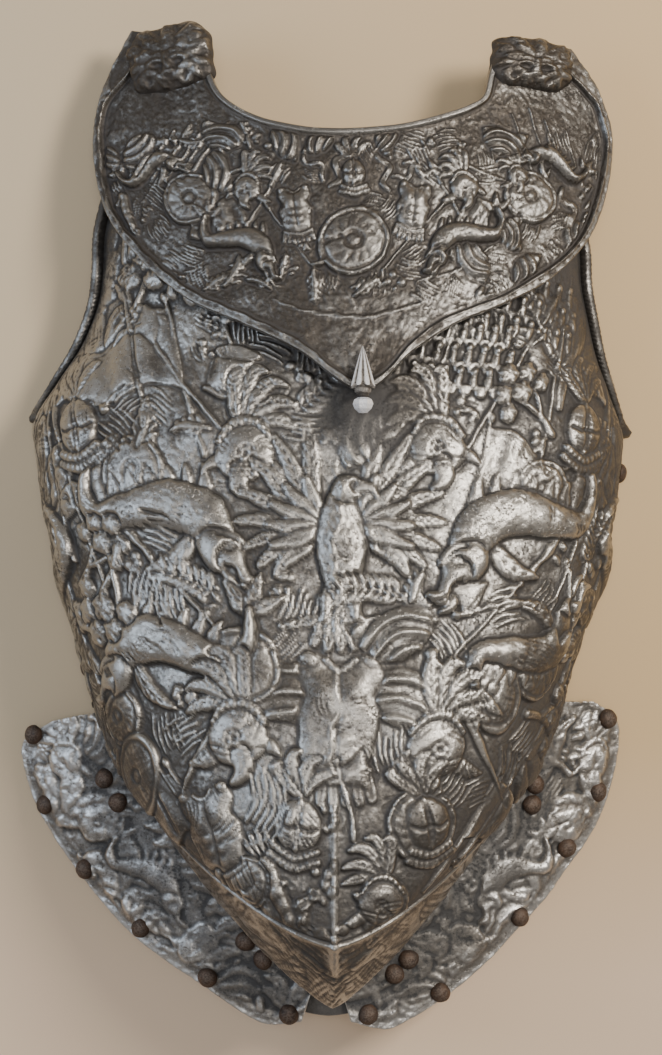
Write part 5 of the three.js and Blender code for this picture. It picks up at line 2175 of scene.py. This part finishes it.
@dataclass
class LionMask:
    """A lion's head cast on one shoulder, seen from over its brow.

    Attributes:
        x: Plan x of its middle.
        y: Plan y of its middle.
        turn: Its turn in radians.
        size: Its scale.
        squash: Its height as a share of the drawn one.
        tuft: Where a lighter tuft of mane lies, in its own coordinates.
    """

    HALF: ClassVar[tuple[float, float]] = (26.5, 22.5)

    x: float
    y: float
    turn: float
    size: float
    squash: float
    tuft: tuple[float, float]

    def draw(self, canvas: ReliefCanvas) -> None:
        """Draws the mane, ears, brows, eyes, nose, muzzle and beard.

        Args:
            canvas: The mask's canvas.
        """
        pen = Pen(canvas, 0, 0, strength=0.95)
        strands = lambda along, across: 0.45 * np.cos(across * 2.7)
        for i in range(13):
            angle = math.radians(-24 + i * 19)
            sway = 0.2 if i % 2 else -0.14
            line = [
                (share * math.cos(angle + turn), 0.84 * share * math.sin(angle + turn))
                for share, turn in ((12, 0), (20, sway), (27.5, sway * 0.4))
            ]
            pen.stroke(line, [3, 4.2, 1.8], 2, strands, moat=0.6, count=8)
        for i in range(7):
            x = -16 + 5.4 * i
            bend = 2.8 if i % 2 else -1.8
            fall = -21 + 2.5 * math.sin(2.3 * i)
            line = [(x * 0.7, -8), (x + bend, -14), (x * 0.95 - bend, fall)]
            pen.stroke(line, [2.6, 3.4, 1.2], 1.7, strands, moat=0.6, count=8)
        for i in range(9):
            angle = math.radians(2 + i * 22)
            sway = 0.3 if i % 2 else -0.3
            line = [
                (share * 1.15 * math.cos(angle + turn), 0.9 * share * math.sin(angle + turn) - 1)
                for share, turn in ((4, 0), (10.5, sway), (16.5, sway * 0.3))
            ]
            pen.stroke(line, [2.6, 3.6, 1.8], 2.2, strands, moat=0.6, count=8)
        for side in (-1, 1):
            pen.disc((side * 18.5, 8), (4.6, 3.6), 2.8, lambda q, t: -1.5 * bell(q, 0.45), turn=side * 0.4)
        face = pen.moved(0, -7, 0, 0.86)
        for side in (-1, 1):
            face.disc((side * 12, -4), (6, 5.4), 2.4, moat=0.6)
            face.disc((side * 6.2, 7), (7, 4.6), 2.8, moat=0.6)
            face.disc((side * 7.2, -0.6), (4, 2.2), 0.3, lift=-1.2, moat=0.4)
            face.disc((side * 7, -0.8), (2, 1.3), 1.3, moat=0.5, lift=0.1)
            face.stroke([(side * 1.6, 2), (side * 7, 4.2), (side * 14, 1.4)], [2.6, 3, 1.4], 2.6, moat=0.6)
            face.disc((side * 5.2, -9.4), (5.8, 3.8), 3, moat=0.6, turn=side * 0.3)
        face.stroke([(0, 7), (0, 0), (0, -6)], [2.8, 3.2, 4.8], 3.2, moat=0.6)
        face.disc((0, -7), (5.2, 2.7), 2.8, moat=0.7)
        canvas.soften(0.9)
        canvas.weather(np.random.default_rng(SEED + 50 + int(self.x > 0)), 0.11)

    def build(self, name: str, material: Material) -> Object:
        """Makes the mask: a low boss on the plate with the drawn features on it.

        The boss is 6.8 * (1 - q ** 5) ** 0.5 in the share q of its outline. The outline is a
        superellipse of power 4.2, waved a little by two cosines of the polar angle.

        Args:
            name: Name of the piece.
            material: Its material.

        Returns:
            The piece.
        """
        canvas = ReliefCanvas((-30, -30), (30, 30), 0.3)
        self.draw(canvas)
        count = 112
        u, v = np.meshgrid(np.linspace(-1, 1, count), np.linspace(-1, 1, count))
        q = np.maximum(np.abs(u), np.abs(v))
        reach = (np.abs(u) ** 4.2 + np.abs(v) ** 4.2) ** (1 / 4.2)
        pull = q / np.maximum(reach, 1e-9)
        polar = np.arctan2(v, u)
        lumps = 1 + 0.025 * np.cos(7 * polar + self.x) + 0.018 * np.cos(11 * polar - self.x)
        a = u * pull * self.HALF[0] * lumps
        b = v * pull * self.HALF[1] * lumps
        features = canvas.sample(canvas.height, a, b)
        fade = smoothstep(1, 0.93, q)
        height = 6.8 * np.sqrt(np.maximum(1 - q**5, 0)) + 0.78 * features * fade - 1.4 * (1 - fade) - 0.6
        height = height - 1.8 * smoothstep(-6, -self.HALF[1], b)
        c, s = math.cos(self.turn), math.sin(self.turn)
        x = self.x + (a * c - b * s * self.squash) * self.size
        y = self.y + (a * s + b * c * self.squash) * self.size
        base = np.stack([x, y, gorget_z(x, y) + PLATE], -1)
        up = upward(grid_normals(base))
        points = base + up * height[..., None] * self.size
        near = canvas.hollows(1.4)
        hollow_and_shade = canvas.sample(np.clip(near / 1.2, 0, 0.8), a, b) + 0.24 + 0.3 * (1 - fade)
        wear_and_highlight = canvas.sample(np.clip(-near / 0.8, 0, 1), a, b) * fade
        # A lighter spot on the mane round the tuft; the rest of the mask is kept dull.
        lightened = np.exp(-((a - self.tuft[0]) ** 2 + (b - self.tuft[1]) ** 2) / 42)
        wear_and_highlight = wear_and_highlight * (0.22 + 1 * lightened) + 0.25 * lightened
        return build_object(name, [Sheet(points, None, hollow_and_shade, wear_and_highlight)], material)


# ---- faulds


@dataclass
class Fauld:
    """One flared plate under the waist.

    Attributes:
        hand: -1 for the left plate, 1 for the right.
        along_steps: Grid columns from the upper corner to the tip.
        down_steps: Grid rows from the inner to the outer edge.
    """

    hand: int
    along_steps: int = 306
    down_steps: int = 110

    def plan(self, along: Array, down: Array) -> Maps:
        """Straight lines from the hidden inner arc to the outer edge.

        Args:
            along: Shares from the upper corner to the tip.
            down: Shares from the inner arc to the outer edge.

        Returns:
            Plan x and y, and the run from the outer edge.
        """
        edge_table = FAULD_EDGES[self.hand]
        outer = catmull_rom(edge_table, along * (len(edge_table) - 1 - 1e-9))
        start_x, start_y = FAULD_INNER_START[self.hand]
        inner_x = start_x + (FAULD_INNER_END_X[self.hand] - start_x) * along
        side = np.clip(inner_x / start_x, 0, 1)
        crown = (1 - side**FAULD_INNER_POWER) ** (1 / FAULD_INNER_POWER)
        inner_y = start_y + (FAULD_INNER_MID_Y - start_y) * crown
        inner = np.stack([inner_x, inner_y], -1)[:, None, :]
        points = inner + (outer[:, None, :] - inner) * down[None, :, None]
        length = np.linalg.norm(outer[:, None, :] - inner, axis=-1)
        return points[..., 0], points[..., 1], length * (1 - down[None, :])

    def draw_relief(self, canvas: ReliefCanvas) -> None:
        """Draws foliage sprays, drapes, a dolphin and a few arms along the plate.

        Args:
            canvas: The plate's canvas.
        """
        rng = np.random.default_rng(SEED + 10 + self.hand)
        canvas.roll_ground(rng, 0.8)
        TrophyPen(canvas, 0, 0, hand=float(self.hand), lift=0.35, strength=0.72).draw_all(FAULD_LAYERS)
        fill_gaps(
            canvas, lambda x, y: abs(x) > 12, rng,
            ((TrophyPen.spray, 20), (TrophyPen.hatch, 9), (TrophyPen.drape, 14), (TrophyPen.lumps, 7)),
            700, 0.72
        )
        canvas.engrave(rng, 500, 0.7, 0.9)
        canvas.soften(0.8)
        canvas.weather(rng, 0.16)

    def build(self) -> Object:
        """Makes the plate with its relief, rounded border and back.

        Returns:
            The piece.
        """
        low_x, high_x = (-210, 0) if self.hand < 0 else (0, 200)
        canvas = ReliefCanvas((low_x, -325), (high_x, -100), 0.6)
        self.draw_relief(canvas)
        along = np.linspace(0, 1, self.along_steps)
        down = np.linspace(0, 1, self.down_steps)
        x, y, rim_run = self.plan(along, down)
        base = np.stack([x, y, skirt_z(x) + PLATE], -1)
        up = upward(grid_normals(base))
        gains = ((1, 0.6), (3, 0.25)), ((0.8, 0.6), (1.9, 0.6))
        height, hollow_and_shade, wear_and_highlight = canvas.cast(*waver(x, y), (1.8, 5), *gains)
        on_field = smoothstep(4, 10, rim_run)
        # Painted shadow of the breastplate: the inner part of the plate and the part towards the tip are
        # darkened and lose their rubbed highs, more on the left plate; the relief is lowered there too.
        lower = smoothstep(0.22, 0.5, along)[:, None] * (1 if self.hand < 0 else 0.85)
        painted_shadow = smoothstep(24, 52, rim_run) + lower * smoothstep(5, 30, rim_run)
        painted_shadow = painted_shadow + 0.7 * smoothstep(0.5, 0.9, along)[:, None]
        painted_shadow = np.clip(painted_shadow, 0, 1) * smoothstep(3, 12, rim_run)
        height = (height - 0.8) * on_field * (1 - 0.6 * painted_shadow)
        hollow_and_shade = hollow_and_shade * (1 - 0.35 * painted_shadow) + 0.56 * painted_shadow
        wear_and_highlight = wear_and_highlight * (1 - 0.85 * painted_shadow)
        ground = 1 - smoothstep(-1, 0.8, height)
        hollow_and_shade = np.clip((hollow_and_shade + 0.12 * ground) * on_field + 0.25 * bell(rim_run - 5, 3), 0, 1.2)
        grit = canvas.sample(canvas.grit, x, y)
        height = height + 1.2 * grit * (1 - on_field)
        wear_and_highlight = np.clip(wear_and_highlight * on_field + bell(rim_run, 1.4) * (0.95 + 2.4 * grit), 0, 1.2)
        front = base + up * height[..., None]
        front = round_border(front, up, 0.9, PLATE)
        hollow_and_shade = np.pad(hollow_and_shade, LIP_ROWS, constant_values=0.2)
        wear_and_highlight = np.pad(wear_and_highlight, LIP_ROWS, constant_values=0.5)
        x, y, _ = self.plan(np.linspace(0, 1, 70), np.linspace(0, 1, 12))
        sheets = [Sheet(front, None, hollow_and_shade, wear_and_highlight), plain_back(x, y, skirt_z(x))]
        side = "left" if self.hand < 0 else "right"
        piece = build_object(f"fauld_plate_{side}", sheets, GREY.build())
        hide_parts(f"fauld_{side}")
        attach(piece, "root")
        return piece


# ---- stud and rivets


@dataclass
class GorgetStud:
    """The fluted dart, collar and faceted knob at the gorget's tip."""

    base_y: float = 84.0
    tip_y: float = 111.0
    knob_y: float = 73.0
    seat: float = PLATE + 3.4 + FIT

    def build(self) -> Object:
        """Makes the stud.

        The dart's radius at a share t along it is 7.6 * (1 - t), fluted by a cosine of the angle,
        and each flute ends below in a point; the neck and knob are turned profiles on the same axis.

        Returns:
            The piece.
        """
        theta = np.linspace(0, 2 * math.pi, 113)
        t = np.linspace(0, 1, 40)
        radius = 7.6 * (1 - t) ** 0.92 + 0.15
        crest = 0.5 + 0.5 * np.cos(theta * 8 + math.pi)
        flute = 0.82 + 0.18 * crest**0.7
        flat = 0.7
        a = radius[:, None] * flute[None, :] * np.cos(theta)[None, :]
        b = (radius[:, None] * flute[None, :] * np.sin(theta)[None, :]) * flat
        axis = 7.6 * flat
        b = b + axis * (radius[:, None] / 7.6 - 1)
        scallop = 1.7 * (crest[None, :] - 0.5) * (1 - t[:, None]) ** 6
        length = (self.tip_y - self.base_y) * t[:, None] - scallop
        slope = math.atan(0.235)
        y = self.base_y + length * math.cos(slope) + b * math.sin(slope)
        z0 = float(gorget_z(np.array(STUD_X), np.array(self.base_y))) + self.seat + axis
        z = z0 - length * math.sin(slope) + b * math.cos(slope)
        dart = np.stack([STUD_X + a, y, z], -1)
        hollow_and_shade = 0.9 * (1 - crest[None, :]) ** 2 + 0.2 * (t[:, None] < 0.04)
        wear_and_highlight = 0.55 * crest[None, :] * (1 - 0.5 * t[:, None])
        base_cap = self.cap(dart[0])
        profile = np.array(
            [[0, 85.5], [3.4, 85.5], [4, 84.6], [4, 83.2], [5, 82.6], [5, 80.4], [4, 79.8]]
            + [[3.6, 78.6], [3.6, 77.4], [0, 77.4]]
        )
        ring = np.linspace(0, 2 * math.pi, 41)
        neck = self.turned(profile, ring, z0)
        sides = np.linspace(0, 2 * math.pi, 9) + math.pi / 8
        ball = [[0, 4.9], [2.6, 4.7], [5.6, 2.9], [6.6, 0.4], [5.4, -2.4], [2.6, -4.9], [0, -5.2]]
        ball = self.knob_y + np.array(ball)
        ball[:, 0] -= self.knob_y
        knob = self.turned(ball, sides, z0)
        sheets = [Sheet(dart, None, hollow_and_shade, wear_and_highlight, Facing.OUT), base_cap]
        on_ring = (profile[:, 0] > 4.9)[:, None] * np.ones((1, ring.size))
        sheets.append(Sheet(neck, None, 0.85 - 0.25 * on_ring, None, Facing.OUT))
        sheets.extend(self.facets(knob))
        piece = build_object("gorget_dart", sheets, PAINTED_GLINT_STEEL.build())
        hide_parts("gorget_stud")
        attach(piece, "root")
        return piece

    @staticmethod
    def cap(ring: Array) -> Sheet:
        """A low cone that ends a ring of points.

        Args:
            ring: The ring.

        Returns:
            The cone.
        """
        middle = np.repeat((ring.mean(0) - np.array([0, 0.6, 0]))[None, :], len(ring), axis=0)
        points = np.stack([middle, ring])
        return Sheet(points, None, np.full(points.shape[:2], 0.4), None, Facing.OUT)

    @staticmethod
    def turned(profile: Array, ring: Array, z0: float) -> Array:
        """Turns a profile about the stud's axis.

        Args:
            profile: Pairs of radius and y.
            ring: Angles round the axis.
            z0: Height of the axis.

        Returns:
            The grid.
        """
        x = STUD_X + profile[:, 0][:, None] * np.cos(ring)[None, :]
        z = z0 + profile[:, 0][:, None] * np.sin(ring)[None, :]
        y = np.repeat(profile[:, 1][:, None], len(ring), axis=1)
        return np.stack([x, y, z], -1)

    @staticmethod
    def facets(points: Array) -> list[Sheet]:
        """One flat sheet for each quad, so that the knob keeps its cut faces.

        Args:
            points: The knob's grid.

        Returns:
            The sheets.
        """
        middle = points.mean((0, 1))
        sheets = []
        for i in range(points.shape[0] - 1):
            for j in range(points.shape[1] - 1):
                quad = points[i : i + 2, j : j + 2]
                flat = unit(np.cross(quad[1, 1] - quad[0, 0], quad[0, 1] - quad[1, 0]))
                if float(flat @ (quad.mean((0, 1)) - middle)) < 0:
                    quad = quad[:, ::-1]
                    flat = -flat
                # Painted light: alternate facets get a lighter tone, as lit and shaded faces.
                lightened = np.full((2, 2), 1 - 0.3 * ((i + j) % 2))
                sheets.append(FlatSheet(quad, np.broadcast_to(flat, quad.shape), None, lightened))
        return sheets


@dataclass
class Rivets:
    """Domed steel rivets, one piece for each CAD rivet."""

    head: float = 6.4
    dome: float = 4.4

    def build(self) -> list[Object]:
        """Makes a dome over each CAD rivet head and keeps its shank and tail.

        The dome is dome * (1 - q ** 2.3) ** 0.6 in the share q of its radius, with a small seeded
        unevenness.

        Returns:
            The pieces.
        """
        rust = RUST.build()
        pieces = []
        names = sorted(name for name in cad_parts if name.startswith("rivet_"))
        for number, name in enumerate(names):
            rng = np.random.default_rng(SEED + 100 + number)
            center, axis = self.find_axis(name)
            piece = self.one(name, center, axis, rng, rust)
            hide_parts(name)
            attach(piece, "root")
            pieces.append(piece)
        return pieces

    def find_axis(self, name: str) -> tuple[Array, Array]:
        """The head's seat and outward axis, from the CAD rivet's vertices.

        The widest ring of vertices lies round the seat, the axis is its normal, and the crown is the
        vertex furthest from its plane.

        Args:
            name: Name of the CAD rivet.

        Returns:
            The middle of the seat and the axis.
        """
        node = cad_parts[name]
        count = len(node.data.vertices)
        points = np.empty(count * 3, np.float32)
        node.data.vertices.foreach_get("co", points)
        points = np.unique(np.round(points.reshape(-1, 3) / MM, 3), axis=0)
        spread = points - points.mean(0)
        _, _, axes = np.linalg.svd(spread, full_matrices=False)
        best = None
        for axis in axes:
            along = spread @ axis
            radius = np.linalg.norm(spread - along[:, None] * axis, axis=1)
            ring = radius > self.head * 0.96
            if ring.sum() >= 6 and (best is None or np.ptp(along[ring]) < best[0]):
                best = (np.ptp(along[ring]), axis, along[ring].mean(), along)
        _, axis, seat, along = best
        if along.max() - seat > seat - along.min():
            axis, seat, along = -axis, -seat, -along
        center = points.mean(0) + axis * seat
        return center - SHIFT, axis

    def one(
        self, name: str, center: Array, axis: Array, rng: np.random.Generator, material: Material
    ) -> Object:
        """One rivet: dome, shank and tail turned about its axis.

        Args:
            name: Name of the CAD rivet.
            center: Middle of its seat.
            axis: Its outward axis.
            rng: Seeded random numbers.
            material: Its material.

        Returns:
            The piece.
        """
        q = np.concatenate([np.linspace(0, 0.9, 11), [0.95, 0.985, 1]])
        dome_z = self.dome * (1 - q**2.3) ** 0.6
        radius = list(q * self.head)
        height = list(dome_z)
        grip = 12 if "inner" in name else 6
        low = -grip - 0.6
        radius += [self.head * 0.98, 2.2, 2.2, 3.8, 3.8, 0]
        height += [-0.05, -0.05, low + 1.4, low + 1.4, low, low]
        ring = np.linspace(0, 2 * math.pi, 29)
        shape = np.array(radius)[:, None] * np.ones((1, ring.size))
        phase = rng.uniform(0, 2 * math.pi, 3)
        uneven = 0.03 * np.cos(2 * ring + phase[0]) + 0.02 * np.cos(3 * ring + phase[1])
        uneven = uneven + 0.012 * np.cos(7 * ring + phase[2])
        shape = shape * (1 + uneven[None, :])
        tall = np.array(height)[:, None] * np.ones((1, ring.size))
        tilt = rng.uniform(-0.05, 0.05, 2)
        tall = tall + (tilt[0] * np.cos(ring) + tilt[1] * np.sin(ring))[None, :] * shape * (tall > 0)
        side = unit(np.cross(axis, np.array([0.31, 0.2, 0.93])))
        other = np.cross(axis, side)
        points = (
            center + shape[..., None] * (np.cos(ring)[None, :, None] * side
            + np.sin(ring)[None, :, None] * other) + tall[..., None] * axis
        )
        wear_and_highlight = np.clip(tall / self.dome, 0, 1) ** 2
        return build_object(f"{name}_head", [Sheet(points, None, None, wear_and_highlight, Facing.OUT)], material)


# ---- set


@dataclass(frozen=True)
class Studio:
    """Floor, lights and camera.

    Attributes:
        distance: Camera height over the floor in metres.
        frame_height: Height of what the camera sees at the floor, in metres.
    """

    distance: float = 1.3
    frame_height: float = 0.6963

    def build(self) -> None:
        """Makes the set."""
        self.floor()
        self.camera()
        self.world()
        self.area((0.92, 0.56, 1.25), 0.42, 20.5, (1, 0.94, 0.85))
        self.area((-1.25, 0.3, 1), 0.8, 8, (0.65, 0.8, 1))
        self.area((0, 0.1, 2.1), 0.5, 8, (1, 0.98, 0.95))

    def floor(self) -> None:
        """A pale floor with painted light: cooler to the left, warmer to the right and lighter towards the
        bottom.
        """
        bpy.ops.mesh.primitive_plane_add(size=8, location=(0, 0, 0))
        plane = bpy.context.object
        plane.name = "floor"
        maker = NodeMaker("pale_floor_painted_light")
        tone = maker.noise(3, 3, 0.5)
        x, y = [maker.add("ShaderNodeSeparateXYZ", axis, {0: maker.place}) for axis in "XY"]
        # Painted light on the floor: a shift from a cooler colour on the left to a warmer one on the right,
        # and a lighter colour towards the bottom.
        side = maker.remap(maker.math("ADD", x, maker.scale(tone, 0.1)), -0.3, 0.3, 0, 1)
        near = maker.remap(y, -0.14, -0.3, 0, 1)
        color = maker.mix(side, (0.69, 0.575, 0.415), (0.735, 0.52, 0.28))
        color = maker.mix(near, color, (0.86, 0.655, 0.47))
        maker.link(color, maker.inputs["Base Color"])
        maker.inputs["Roughness"].default_value = 0.75
        plane.data.materials.append(maker.material)

    def camera(self) -> None:
        """A camera straight over the cuirass, with the neck at the top of the picture."""
        data = bpy.data.cameras.new("camera")
        data.sensor_fit = "VERTICAL"
        data.sensor_height = 24
        data.lens = 24 * self.distance / self.frame_height
        data.clip_start = 0.05
        data.clip_end = 20
        camera = bpy.data.objects.new("camera", data)
        camera.location = Vector((SHIFT[0] * MM, SHIFT[1] * MM, self.distance))
        bpy.context.scene.collection.objects.link(camera)
        bpy.context.scene.camera = camera

    def world(self) -> None:
        """A dim warm room."""
        world = bpy.data.worlds.new("room")
        world.use_nodes = True
        background = world.node_tree.nodes["Background"]
        background.inputs["Color"].default_value = (0.78, 0.72, 0.66, 1)
        background.inputs["Strength"].default_value = 0.33
        bpy.context.scene.world = world

    def area(self, place: Sequence[float], size: float, power: float, color: Sequence[float]) -> None:
        """A soft square light that looks at the cuirass.

        Args:
            place: Where it hangs, in metres.
            size: Its side.
            power: Its power in watts.
            color: Its colour.
        """
        data = bpy.data.lights.new("soft_light", "AREA")
        data.energy = power
        data.size = size
        data.color = color
        lamp = bpy.data.objects.new("soft_light", data)
        lamp.location = Vector(place)
        lamp.rotation_euler = (Vector((0, 0, 0.06)) - Vector(place)).to_track_quat("-Z", "Y").to_euler()
        bpy.context.scene.collection.objects.link(lamp)


def main() -> None:
    """Builds every sub-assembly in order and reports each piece."""
    logging.basicConfig(level=logging.INFO, format="%(message)s")
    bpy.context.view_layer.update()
    for piece in Breastplate().build():
        log.info("breastplate: %s", piece.name)
    for piece in Gorget().build():
        log.info("gorget: %s", piece.name)
    for hand in (-1, 1):
        log.info("fauld: %s", Fauld(hand).build().name)
    log.info("stud: %s", GorgetStud().build().name)
    for piece in Rivets().build():
        log.info("rivet: %s", piece.name)
    Studio().build()


if __name__ == "__main__":
    main()
